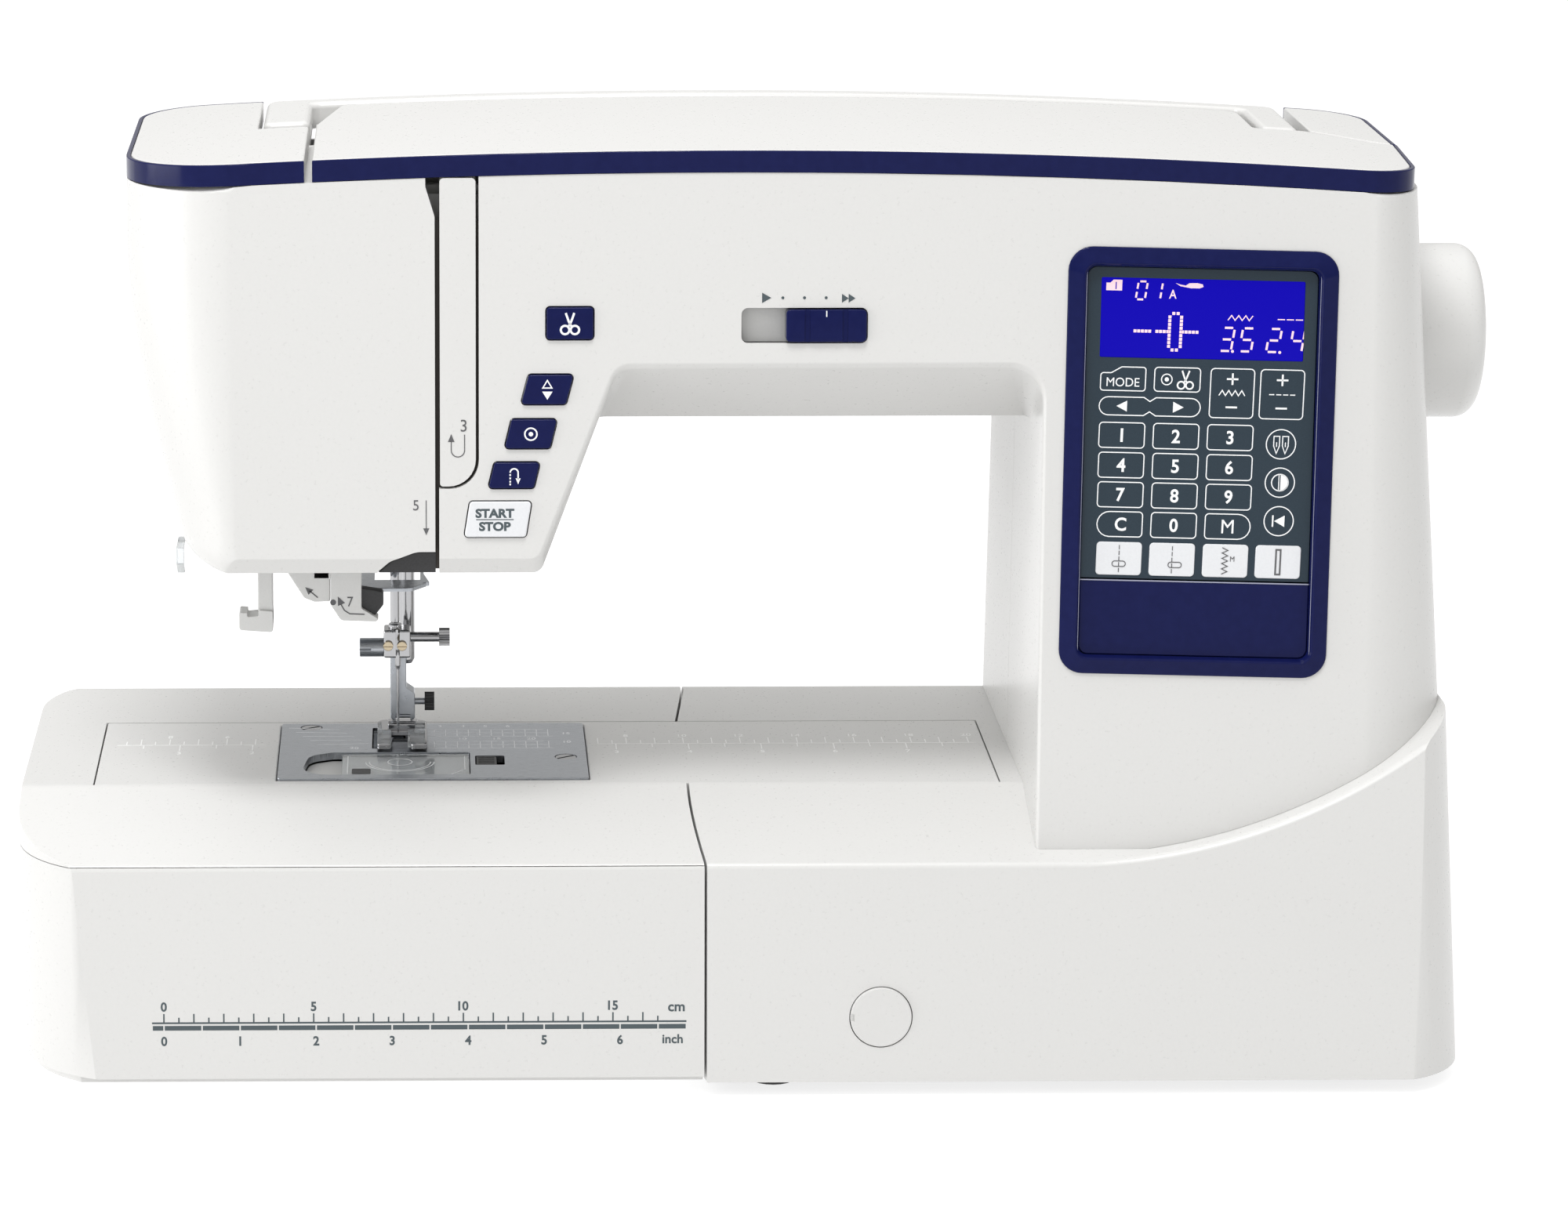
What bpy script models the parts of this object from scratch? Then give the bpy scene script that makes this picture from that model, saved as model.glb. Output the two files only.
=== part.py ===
"""Computerised sewing machine with a free arm and a removable extension table.

Frame: origin under the middle of the machine on the table top, +X to the handwheel,
+Y away from the user, +Z up. Dimensions are in millimetres and scaled to metres by MM.
"""
import math

import bmesh
import bpy
from mathutils import Matrix, Vector

MM = 0.001
GAP = 0.3                     # clearance between neighbouring pieces
WALL = 2.5                    # thickness of the plastic covers

# Overall envelope
TABLE_LEFT = -250.0
WHEEL_RIGHT = 250.0
BASE_FRONT = -100.0
BASE_REAR = 100.0
REAR_TRIM = 100.6             # the section runs past the rear, where the plan cuts it
BODY_BOTTOM = 5.0
BED_TOP = 94.6
APRON_FRONT_Z = 80.0
APRON_FRONT_Y = -96.5
APRON_CREASE_Y = -48.0

# Head, arm and column
FACE_LEAN = math.tan(math.radians(4.0))
FACE_TILT = math.radians(-4.0)
FACE_Y = -88.0                # front face at FACE_Z
FACE_Z = 83.0
HOUSING_REAR = 84.0           # rear face at FACE_Z, leaning forward as it rises
PARTING_Y = 2.0
HEAD_LEFT = -211.5
HEAD_BOTTOM = 176.0
THROAT_RIGHT = 91.5
SOCKET_SIDE = 236.5           # right side of the base at the height of the sockets
THROAT_TOP = 222.0            # behind the sloping lower edge of the arm
THROAT_TOP_FRONT = 245.0
ARM_SLOPE_DEPTH = 31.7
TOP_CROWN = 315.8
BAND_HEIGHT = 7.0
HEAD_CORNER = 38.0            # plan radius of the head's left end
COLUMN_CORNER = 28.0

# Free arm and extension table
FREE_ARM_LEFT = -225.0
FREE_ARM_RIGHT = 83.7
FREE_ARM_FRONT = -47.1
FREE_ARM_REAR = 33.0
FREE_ARM_UNDERSIDE = 46.0
SPLIT_X = -18.6
SPLIT_INSET = 4.3
LID_SEAM_Z = 79.5

# Hip line where the base meets the column
HIP_RADIUS = 200.0
HIP_START_X = 100.0
HIP_START_Z = 80.4

# Sewing axis
NEEDLE_X = -121.7
NEEDLE_Y = 5.0
NEEDLE_TIP_Z = 98.0
NEEDLE_BAR_X = -122.6
PRESSER_X = -118.4
PRESSER_Y = 16.0
HOOK_X = -121.0
HOOK_Y = -17.0
SHAFT_Y = 10.0
SHAFT_Z = 240.0
LOWER_SHAFT_Y = 9.0
LOWER_SHAFT_Z = 58.0
PULLEY_RADIUS = 11.0
WHEEL_RADIUS = 30.0
WHEEL_DEPTH = 25.0
WHEEL_EDGE = 7.0
PLATE_LEFT = -162.9
PLATE_RIGHT = -56.3
PLATE_FRONT = -42.7
PLATE_REAR = 28.8


# ---------------------------------------------------------------- scene and materials

def clear_scene():
    for item in list(bpy.data.objects):
        bpy.data.objects.remove(item, do_unlink=True)
    for name in ("sewing_machine", "cutters"):
        old = bpy.data.collections.get(name)
        if old:
            bpy.data.collections.remove(old)


def new_collection(name):
    made = bpy.data.collections.new(name)
    bpy.context.scene.collection.children.link(made)
    return made


def new_material(name, colour, roughness, metallic=0.0):
    made = bpy.data.materials.new(name)
    made.use_nodes = True
    shader = made.node_tree.nodes["Principled BSDF"]
    shader.inputs["Base Color"].default_value = (*colour, 1.0)
    shader.inputs["Roughness"].default_value = roughness
    shader.inputs["Metallic"].default_value = metallic
    made.diffuse_color = (*colour, 1.0)
    return made


clear_scene()
PARTS = new_collection("sewing_machine")
CUTTERS = new_collection("cutters")
WHITE = new_material("white_plastic", (0.86, 0.86, 0.85), 0.35)
NAVY = new_material("navy_plastic", (0.025, 0.03, 0.13), 0.15)
SLATE = new_material("slate_overlay", (0.07, 0.10, 0.13), 0.4)
BLUE = new_material("display_blue", (0.0, 0.02, 0.85), 0.2)
DARK = new_material("dark_plastic", (0.03, 0.03, 0.032), 0.5)
STEEL = new_material("brushed_steel", (0.55, 0.57, 0.6), 0.35, 1.0)
CHROME = new_material("chrome", (0.8, 0.8, 0.8), 0.1, 1.0)
CAST = new_material("cast_aluminium", (0.5, 0.5, 0.5), 0.5, 1.0)
CLEAR = new_material("clear_plastic", (0.8, 0.85, 0.88), 0.1)
RUBBER = new_material("rubber", (0.05, 0.05, 0.05), 0.8)
BOARD = new_material("circuit_board", (0.02, 0.2, 0.08), 0.5)


# ---------------------------------------------------------------- shape helpers

def add_object(name, mesh, collection=None):
    made = bpy.data.objects.new(name, mesh)
    (collection or CUTTERS).objects.link(made)
    if collection is None:
        made.hide_render = True
        made.display_type = "WIRE"
    return made


def mesh_from(name, shape):
    bmesh.ops.recalc_face_normals(shape, faces=shape.faces)
    mesh = bpy.data.meshes.new(name)
    shape.to_mesh(mesh)
    shape.free()
    return mesh


def box(name, low, high, bevel=0.0, segments=2):
    """A box between two corners, with its edges rounded by bevel."""
    low = Vector(low) * MM
    high = Vector(high) * MM
    shape = bmesh.new()
    bmesh.ops.create_cube(shape, size=1.0)
    middle = (low + high) / 2
    place = Matrix.Translation(middle) @ Matrix.Diagonal((*(high - low), 1.0))
    bmesh.ops.transform(shape, matrix=place, verts=shape.verts)
    if bevel:
        bmesh.ops.bevel(shape, geom=shape.edges[:], offset=bevel * MM, segments=segments,
                        affect="EDGES", profile=0.5)
    return add_object(name, mesh_from(name, shape))


def rod(name, start, end, radius, sides=16, end_radius=None):
    """A cylinder or cone from start to end."""
    start = Vector(start) * MM
    end = Vector(end) * MM
    shape = bmesh.new()
    far = radius if end_radius is None else end_radius
    bmesh.ops.create_cone(shape, cap_ends=True, segments=sides, radius1=radius * MM,
                          radius2=far * MM, depth=(end - start).length)
    turn = Vector((0, 0, 1)).rotation_difference(end - start).to_matrix().to_4x4()
    bmesh.ops.transform(shape, matrix=Matrix.Translation((start + end) / 2) @ turn,
                        verts=shape.verts)
    return add_object(name, mesh_from(name, shape))


def tube(name, start, end, outer, inner, sides=24):
    """A pipe: a rod with a through bore."""
    body = rod(name, start, end, outer, sides)
    along = (Vector(end) - Vector(start)).normalized() * 2.0
    bore = rod(name + "_bore", Vector(start) - along, Vector(end) + along, inner, sides)
    return subtract(body, bore)


def turned(name, profile, centre, axis, sides=32):
    """A shape of revolution: (radius, height) points run down its outer side."""
    mesh = bpy.data.meshes.new(name)
    points = [(r * MM, 0.0, h * MM) for r, h in profile]
    mesh.from_pydata(points, [(i, i + 1) for i in range(len(points) - 1)], [])
    made = add_object(name, mesh)
    screw = made.modifiers.new("turn", "SCREW")
    screw.steps = screw.render_steps = sides
    screw.use_merge_vertices = True
    screw.merge_threshold = 0.00001
    screw.use_normal_calculate = True
    made.rotation_mode = "QUATERNION"
    made.rotation_quaternion = Vector((0, 0, 1)).rotation_difference(Vector(axis))
    made.location = Vector(centre) * MM
    settle(made)
    shape = bmesh.new()
    shape.from_mesh(made.data)
    made.data = mesh_from(name, shape)
    return made


def rounded(corners, steps=4):
    """An outline from (u, v, radius) corners, with arcs at the corners."""
    points = []
    for index, (u, v, radius) in enumerate(corners):
        corner = Vector((u, v))
        if radius <= 0:
            points.append(corner)
            continue
        before = Vector(corners[index - 1][:2]) - corner
        after = Vector(corners[(index + 1) % len(corners)][:2]) - corner
        before.normalize()
        after.normalize()
        half = before.angle(after) / 2
        centre = corner + (before + after).normalized() * radius / math.sin(half)
        reach = radius / math.tan(half)
        first = corner + before * reach - centre
        last = corner + after * reach - centre
        sweep = first.angle(last)
        for step in range(steps + 1):
            share = step / steps
            arm = (first * math.sin((1 - share) * sweep) + last * math.sin(share * sweep))
            points.append(centre + arm / math.sin(sweep))
    return points


def rectangle(u_low, v_low, u_high, v_high, radius=0.0):
    return [(u_low, v_low, radius), (u_high, v_low, radius), (u_high, v_high, radius),
            (u_low, v_high, radius)]


PLANES = {"XY": Matrix.Identity(3),
          "XZ": Matrix(((1, 0, 0), (0, 0, -1), (0, 1, 0))),
          "YZ": Matrix(((0, 0, 1), (1, 0, 0), (0, 1, 0)))}


def extruded(name, outline, low, high, plane="XY"):
    """A flat outline in a plane, filled and extruded along the plane's normal."""
    curve = bpy.data.curves.new(name, "CURVE")
    curve.dimensions = "2D"
    curve.fill_mode = "BOTH"
    curve.extrude = (high - low) / 2 * MM
    spline = curve.splines.new("POLY")
    spline.points.add(len(outline) - 1)
    for point, (u, v) in zip(spline.points, outline):
        point.co = (u * MM, v * MM, 0.0, 1.0)
    spline.use_cyclic_u = True
    guide = bpy.data.objects.new(name, curve)
    CUTTERS.objects.link(guide)
    turn = PLANES[plane].to_4x4()
    middle = (low + high) / 2 * MM
    # The plane's normal is -Y for XZ, so the middle is measured along +Y there.
    normal = Vector((0, 1, 0)) if plane == "XZ" else turn.to_3x3() @ Vector((0, 0, 1))
    guide.matrix_world = Matrix.Translation(normal * middle) @ turn
    graph = bpy.context.evaluated_depsgraph_get()
    mesh = bpy.data.meshes.new_from_object(guide.evaluated_get(graph))
    shape = bmesh.new()
    shape.from_mesh(mesh)
    bmesh.ops.remove_doubles(shape, verts=shape.verts, dist=0.00001)
    bmesh.ops.transform(shape, matrix=guide.matrix_world, verts=shape.verts)
    bpy.data.objects.remove(guide, do_unlink=True)
    bpy.data.meshes.remove(mesh)
    return add_object(name, mesh_from(name, shape))


def loft(name, rings):
    """A closed solid through rings of equal point counts."""
    shape = bmesh.new()
    rows = [[shape.verts.new(Vector(point) * MM) for point in ring] for ring in rings]
    count = len(rings[0])
    for lower, upper in zip(rows, rows[1:]):
        for index in range(count):
            after = (index + 1) % count
            shape.faces.new((lower[index], lower[after], upper[after], upper[index]))
    shape.faces.new(rows[0])
    shape.faces.new(rows[-1])
    return add_object(name, mesh_from(name, shape))


def settle(made):
    """Turns an object's modifiers and transform into its mesh."""
    bpy.context.view_layer.update()
    graph = bpy.context.evaluated_depsgraph_get()
    mesh = bpy.data.meshes.new_from_object(made.evaluated_get(graph))
    mesh.transform(made.matrix_world)
    made.modifiers.clear()
    made.data = mesh
    made.matrix_world = Matrix.Identity(4)
    return made


def is_closed(mesh):
    shape = bmesh.new()
    shape.from_mesh(mesh)
    closed = len(shape.faces) > 0 and all(edge.is_manifold for edge in shape.edges)
    shape.free()
    return closed


def combine(target, tool, operation, keep_tool=False):
    """A Boolean with the EXACT solver, or MANIFOLD where EXACT leaves an open edge."""
    before = target.data
    for solver in ("EXACT", "MANIFOLD"):
        target.data = before
        step = target.modifiers.new(operation.lower(), "BOOLEAN")
        step.operation = operation
        step.solver = solver
        step.object = tool
        settle(target)
        if is_closed(target.data):
            break
    if not keep_tool:
        bpy.data.objects.remove(tool, do_unlink=True)
    return target


def subtract(target, *tools):
    for tool in tools:
        combine(target, tool, "DIFFERENCE")
    return target


def unite(target, *tools):
    for tool in tools:
        combine(target, tool, "UNION")
    return target


def overlap_of(target, *tools):
    for tool in tools:
        combine(target, tool, "INTERSECT")
    return target


def copy_of(source, name):
    return add_object(name, source.data.copy())


def on_face(made, x, z, roll=0.0):
    """Moves a piece built about the origin onto the leaning front face."""
    turn = Matrix.Rotation(FACE_TILT, 4, "X") @ Matrix.Rotation(math.radians(roll), 4, "Y")
    made.data.transform(Matrix.Translation(Vector((x, face_y(z), z)) * MM) @ turn)
    return made


def publish(made, name, material, origin=None, smooth=35.0):
    """Names a finished piece, gives it its material and puts its origin on its joint."""
    made.name = name
    made.data.name = name
    CUTTERS.objects.unlink(made)
    PARTS.objects.link(made)
    made.hide_render = False
    made.display_type = "TEXTURED"
    made.data.materials.clear()
    made.data.materials.append(material)
    made.data.shade_smooth()
    made.data.set_sharp_from_angle(angle=math.radians(smooth))
    if origin is not None:
        place = Vector(origin) * MM
        made.data.transform(Matrix.Translation(-place))
        made.location = place
    return made


# ---------------------------------------------------------------- governing surfaces

def face_y(z):
    return FACE_Y + (z - FACE_Z) * FACE_LEAN


def rear_y(z):
    return HOUSING_REAR - (z - FACE_Z) * FACE_LEAN


def top_z(x):
    return TOP_CROWN - (x + 12.0) ** 2 / 6200.0


def deck_z(x):
    """Upper edge of the covers, just under the band and the lid."""
    return top_z(x) - BAND_HEIGHT - GAP


def right_x(z):
    return 238.9 - 0.0715 * z


def head_left_x(z):
    return HEAD_LEFT + max(0.0, 280.0 - z) ** 1.6 * 0.0118


def base_front_y(z):
    return BASE_FRONT + (z - BODY_BOTTOM) * (APRON_FRONT_Y - BASE_FRONT) / (APRON_FRONT_Z - BODY_BOTTOM)


def hip_z(x):
    reach = max(0.0, x - HIP_START_X)
    return HIP_START_Z + HIP_RADIUS - math.sqrt(HIP_RADIUS ** 2 - reach ** 2)


# ---------------------------------------------------------------- head, arm and column

def housing_outline(throat_top, shrink=0.0):
    """The covers seen from the front: head, arm and column around the throat."""
    top_stations = (-190, -150, -100, -50, 0, 50, 100, 150, 195)
    throat_left = -73.9 + 0.37 * (throat_top - 175.5)
    corner = 3.0 + 9.0 * (throat_top - THROAT_TOP) / (THROAT_TOP_FRONT - THROAT_TOP)
    upper = [(x, deck_z(x) - shrink, 0) for x in top_stations]
    right = [(right_x(z) - shrink, z, 0) for z in (296, 260, 220, 180, 140, 100, 62)]
    left = [(head_left_x(z) + shrink, z, 0) for z in (192, 205, 222, 240, 262, 290)]
    corners = [(HEAD_LEFT + shrink, deck_z(HEAD_LEFT) - shrink, 0)] + upper
    corners.append((right_x(305) - shrink, deck_z(right_x(305)) - shrink, 0))
    corners += right
    corners += [(THROAT_RIGHT + shrink, 62, 0),
                (THROAT_RIGHT + shrink, throat_top + shrink, corner),
                (throat_left - shrink, throat_top + shrink, 7),
                (-73.9 - shrink, HEAD_BOTTOM + shrink, 4),
                (head_left_x(HEAD_BOTTOM + 3) + shrink, HEAD_BOTTOM + shrink, 10)]
    return rounded(corners + left, steps=3)


def plan_squeeze(x, depth):
    """Pulls the ends of the outline in towards the front or rear face."""
    def share(radius):
        reach = max(0.0, radius - depth - 1.2) / radius
        return math.sqrt(1.0 - reach * reach)

    left_zone = HEAD_LEFT + HEAD_CORNER
    right_zone = right_x(HEAD_BOTTOM) - COLUMN_CORNER
    if x < left_zone:
        return left_zone + (x - left_zone) * share(HEAD_CORNER)
    if x > right_zone:
        return right_zone + (x - right_zone) * share(COLUMN_CORNER)
    return x


def housing_ring(depth, shrink, rear=False, offset=0.0):
    slope = 0.0 if rear else max(0.0, 1.0 - depth / ARM_SLOPE_DEPTH)
    throat_top = THROAT_TOP + (THROAT_TOP_FRONT - THROAT_TOP) * slope
    ring = []
    for x, z in housing_outline(throat_top, shrink):
        y = rear_y(z) - depth - offset if rear else face_y(z) + depth + offset
        ring.append((plan_squeeze(x, depth), y, z))
    return ring


def housing_solid(name, shrink):
    """The full envelope of the head, arm and column, smaller by shrink on all sides."""
    rings = [housing_ring(0.0, shrink + 2.2, offset=shrink),
             housing_ring(0.7, shrink + 0.7, offset=shrink)]
    rings += [housing_ring(depth, shrink, offset=shrink)
              for depth in (2.5, 8.0, 18.0, ARM_SLOPE_DEPTH)]
    rings += [housing_ring(depth, shrink, True, shrink) for depth in (26.0, 12.0, 4.0)]
    rings.append(housing_ring(0.0, shrink + 3.0, True, shrink))
    return loft(name, rings)


def face_hole(x_low, z_low, x_high, z_high, radius=1.5, roll=0.0, slant=0.0):
    """A cutter through the front wall, square to the leaning face."""
    width = (x_high - x_low) / 2
    height = (z_high - z_low) / 2
    corners = [(u + slant * v, v, r) for u, v, r in
               rectangle(-width, -height, width, height, radius)]
    made = extruded("face_hole", rounded(corners, steps=2), -14, 14, "XZ")
    return on_face(made, (x_low + x_high) / 2, (z_low + z_high) / 2, roll)


# name: x low, z low, x high, z high, slant of the sides
BUTTONS = {"thread_cutter_button": (-72.1, 254.0, -56.7, 264.6, 0.0),
           "needle_position_button": (-79.2, 232.6, -64.4, 242.4, 0.26),
           "lock_stitch_button": (-84.7, 218.0, -69.7, 227.7, 0.24),
           "reverse_button": (-90.2, 204.8, -75.2, 213.4, 0.24),
           "start_stop_button": (-98.2, 188.6, -77.9, 200.4, 0.16)}
SLIDER_SLOT = (-8.1, 252.5, 33.4, 264.2)
SLIDER_KNOB = (6.5, 253.0, 33.0, 263.7)
PANEL_X = 143.0
PANEL_Z = 212.3
PANEL_WIDTH = 89.0
PANEL_HEIGHT = 142.2
PANEL_ROLL = 1.5
PANEL_SHEAR = 0.019           # the panel's sides lean less than its ends
BEZEL_WIDTH = 6.4
SLOT_LEFT = -108.3
CHANNEL_LEFT = -107.1
CHANNEL_RIGHT = -95.3
CHANNEL_BOTTOM = 205.4
WHEEL_HOLE = 13.0


def make_housing(base_shape):
    """Front, rear, face and thread channel covers, cut from one hollow envelope."""
    shell = housing_solid("housing_shell", 0.0)
    subtract(shell, housing_solid("housing_core", WALL), base_shape)
    # Open top under the lid, from the left cover to the right one.
    subtract(shell, box("deck_opening", (-141, -62, 280), (205, 54, 330)))
    subtract(shell, box("handle_bar_recess", (-171, 55.5, 298.5), (191, 90, 330)))
    for low, high in ((-171, -149.6), (173, 191)):
        subtract(shell, box("handle_arm_recess", (low, 8, 298.5), (high, 90, 330)))
    subtract(shell, rod("wheel_hole", (195, SHAFT_Y, SHAFT_Z), (260, SHAFT_Y, SHAFT_Z),
                        WHEEL_HOLE, 24))
    subtract(shell, box("head_opening", (-156, -30, 168), (-98, 34, 190)))
    subtract(shell, box("lifter_opening", (-112, 60, 200), (-96, 90, 240)))

    rear = overlap_of(copy_of(shell, "rear"),
                      box("rear_region", (-260, PARTING_Y + GAP, 0), (260, 120, 340)))
    publish(rear, "rear_cover", WHITE)

    front = overlap_of(shell, box("front_region", (-260, -120, 0), (260, PARTING_Y, 340)))
    face = overlap_of(copy_of(front, "face"),
                      box("face_region", (-260, -130, 100), (SLOT_LEFT, 60, 340)))
    subtract(face, box("threader_gap", (-172, -60, 168), (-130, -33, 190)))
    publish(face, "face_cover", WHITE)

    channel_shape = rounded([(CHANNEL_LEFT, CHANNEL_BOTTOM, 1), (CHANNEL_RIGHT, CHANNEL_BOTTOM, 9),
                             (CHANNEL_RIGHT, 340, 0), (CHANNEL_LEFT, 340, 0)])
    channel = overlap_of(copy_of(front, "channel"),
                         extruded("channel_region", channel_shape, -130, -50, "XZ"))
    publish(channel, "thread_channel_cover", WHITE)

    edge = CHANNEL_RIGHT + 0.8
    cut = rounded([(-260, 100, 0), (CHANNEL_LEFT - GAP, 100, 0),
                   (CHANNEL_LEFT - GAP, CHANNEL_BOTTOM - 0.8, 0),
                   (edge, CHANNEL_BOTTOM - 0.8, 9), (edge, 340, 0), (-260, 340, 0)])
    subtract(front, extruded("slot_region", cut, -130, 60, "XZ"))
    for low_x, low_z, high_x, high_z, slant in BUTTONS.values():
        subtract(front, face_hole(low_x - 0.5, low_z - 0.5, high_x + 0.5, high_z + 0.5,
                                  1.5, 0.0, slant))
    subtract(front, face_hole(*SLIDER_SLOT))
    half_width = PANEL_WIDTH / 2 - 5
    half_height = PANEL_HEIGHT / 2 - 5
    subtract(front, face_hole(PANEL_X - half_width, PANEL_Z - half_height, PANEL_X + half_width,
                              PANEL_Z + half_height, 4, PANEL_ROLL, -PANEL_SHEAR))
    publish(front, "front_cover", WHITE)


def make_panel():
    """Bezel, display, keypad overlay and the blank lower panel."""
    def slab(name, x_low, z_low, x_high, z_high, radius, front, back):
        corners = [(u - PANEL_SHEAR * v, v, r) for u, v, r in
                   rectangle(x_low, z_low, x_high, z_high, radius)]
        return extruded(name, rounded(corners, steps=3), front, back, "XZ")

    half_width = PANEL_WIDTH / 2
    half_height = PANEL_HEIGHT / 2
    inner_width = half_width - BEZEL_WIDTH
    inner_height = half_height - BEZEL_WIDTH
    bezel = slab("bezel", -half_width, -half_height, half_width, half_height, 7, -2.6, -GAP)
    neck = slab("neck", -half_width + 5.6, -half_height + 5.6, half_width - 5.6,
                half_height - 5.6, 3.5, -1.0, 4.5)
    unite(bezel, neck)
    seam = -38.7
    subtract(bezel, slab("window", -inner_width, seam, inner_width, inner_height, 3, -4, 3.0))
    subtract(bezel, slab("recess", -inner_width, -inner_height, inner_width, seam + 6, 3, -4, 0.4))
    publish(on_face(bezel, PANEL_X, PANEL_Z, PANEL_ROLL), "panel_frame", NAVY)

    width = inner_width - GAP
    height = inner_height - GAP
    overlay = slab("overlay", -width, seam + GAP, width, height, 3, 0.6, 1.6)
    window = (-width + 4.1, height - 28.8, width - 4.0, height - 1.9)
    subtract(overlay, slab("display_window", *window, 1, -1, 3))
    publish(on_face(overlay, PANEL_X, PANEL_Z, PANEL_ROLL), "keypad_overlay", SLATE)
    low_u, low_v, high_u, high_v = window
    glass = slab("glass", low_u + GAP, low_v + GAP, high_u - GAP, high_v - GAP, 1, 0.9, 2.5)
    publish(on_face(glass, PANEL_X, PANEL_Z, PANEL_ROLL), "display", BLUE)


def make_buttons():
    for name, (low_x, low_z, high_x, high_z, slant) in BUTTONS.items():
        width = (high_x - low_x) / 2
        height = (high_z - low_z) / 2
        corners = [(u + slant * v, v, r) for u, v, r in
                   rectangle(-width, -height, width, height, 1.2)]
        cap = extruded(name, rounded(corners, steps=2), -1.2, 5.5, "XZ")
        centre_x = (low_x + high_x) / 2
        centre_z = (low_z + high_z) / 2
        material = WHITE if name == "start_stop_button" else NAVY
        publish(on_face(cap, centre_x, centre_z), name, material,
                (centre_x, face_y(centre_z), centre_z))
    low_x, low_z, high_x, high_z = SLIDER_KNOB
    width = (high_x - low_x) / 2
    height = (high_z - low_z) / 2
    knob = extruded("knob", rounded(rectangle(-width, -height, width, height, 1.5), 2),
                    -1.6, 5.0, "XZ")
    centre_x = (low_x + high_x) / 2
    centre_z = (low_z + high_z) / 2
    publish(on_face(knob, centre_x, centre_z), "speed_slider", NAVY,
            (centre_x, face_y(centre_z), centre_z))


# ---------------------------------------------------------------- top of the machine

LID_LEFT = -148.6
COVER_RIGHT = -151.2
TOP_FRONT = -72.5
LID_HINGE_Y = 51.5
LID_HINGE_Z = 313.5
HANDLE_PIVOT_Y = 17.0
HANDLE_PIVOT_Z = 305.5
BAND_DEPTH = 1.6


def crowned(name, outline, thickness, top_drop=0.0):
    """A plate under the crowned top, with its underside thickness lower."""
    plate = extruded(name, outline, 270, 330)
    stations = [-230 + 20 * step for step in range(24)]
    upper = [(x, top_z(x) - top_drop) for x in stations]
    lower = [(x, top_z(x) - top_drop - thickness) for x in reversed(stations)]
    return overlap_of(plate, extruded(name + "_crown", upper + lower, -120, 120, "XZ"))


def make_top():
    lid_plan = rounded([(LID_LEFT, TOP_FRONT + BAND_DEPTH, 1), (212.5, TOP_FRONT + BAND_DEPTH, 20),
                        (216.5, -8, 0), (208.5, -5.2, 0), (189.5, 10.8, 4), (172.0, 10.8, 3),
                        (172.0, 50.5, 6), (LID_LEFT + 8, 50.5, 4), (LID_LEFT, 6.6, 0)], 5)
    lid = crowned("lid", lid_plan, BAND_HEIGHT - GAP)
    hollow = rounded([(LID_LEFT + 3, TOP_FRONT + 4.5, 1), (209.0, TOP_FRONT + 4.5, 17),
                      (212.0, -10, 2), (206.0, -8.0, 2), (188, 7.5, 3), (169, 7.5, 2),
                      (169, 46.5, 3), (LID_LEFT + 11, 46.5, 3), (LID_LEFT + 3.2, 8, 0)], 5)
    subtract(lid, crowned("lid_hollow", hollow, 12, 2.4))
    publish(lid, "top_lid", WHITE, (0, LID_HINGE_Y, LID_HINGE_Z))

    outer = rounded([(LID_LEFT, TOP_FRONT, 0), (214.3, TOP_FRONT, 21), (218.0, -8, 0),
                     (216.5 + GAP, -8, 0), (212.5 + GAP, TOP_FRONT + BAND_DEPTH - GAP, 20),
                     (LID_LEFT, TOP_FRONT + BAND_DEPTH - GAP, 0)], 6)
    publish(crowned("band", outer, BAND_HEIGHT), "lid_band", NAVY, (0, LID_HINGE_Y, LID_HINGE_Z))

    # Fixed cover on the left, notched at the rear for the carrying handle.
    inset = BAND_DEPTH
    left_plan = rounded([(COVER_RIGHT, TOP_FRONT + inset, 0), (COVER_RIGHT, 3.5, 0),
                         (-168.4, 3.5, 0), (-168.4, 68, 0), (HEAD_LEFT + inset, 68, 24),
                         (HEAD_LEFT + inset, TOP_FRONT + inset, HEAD_CORNER - inset)], 6)
    publish(crowned("left", left_plan, BAND_HEIGHT - GAP), "top_left_cover", WHITE)
    strip = inset - GAP
    left_band = rounded([(COVER_RIGHT, TOP_FRONT, 0), (COVER_RIGHT, TOP_FRONT + strip, 0),
                         (HEAD_LEFT + strip, TOP_FRONT + strip, HEAD_CORNER - strip),
                         (HEAD_LEFT + strip, 30, 0), (HEAD_LEFT, 30, 0),
                         (HEAD_LEFT, TOP_FRONT, HEAD_CORNER)], 6)
    publish(crowned("left_band", left_band, BAND_HEIGHT), "left_band", NAVY)

    right_plan = rounded([(191.5, 12.0, 0), (209.5, -3.8, 0), (217.5, -6.5, 0), (218, 68, 20),
                          (191.5, 68, 0)], 5)
    publish(crowned("right", right_plan, BAND_HEIGHT - GAP), "top_right_cover", WHITE)

    # Recessed deck under the lid.
    tray = box("tray", (-140.5, -61.5, 284), (204.5, 53.5, 300))
    subtract(tray, box("tray_hollow", (-138.5, -59.5, 286), (202.5, 49, 330)))
    publish(tray, "top_tray", WHITE)
    spool = rod("spool_pin", (-40, 30, 295), (38, 30, 295), 3.0, 12)
    unite(spool, box("spool_block", (32, 24, 286.3), (42, 36, 299)))
    publish(spool, "spool_pin", WHITE)
    winder = rod("winder", (150, -20, 286.4), (150, -20, 303.0), 3.0, 12)
    unite(winder, rod("winder_base", (150, -20, 286.3), (150, -20, 290), 10.0, 24))
    publish(winder, "bobbin_winder_spindle", WHITE, (150, -20, 286.3))


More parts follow.
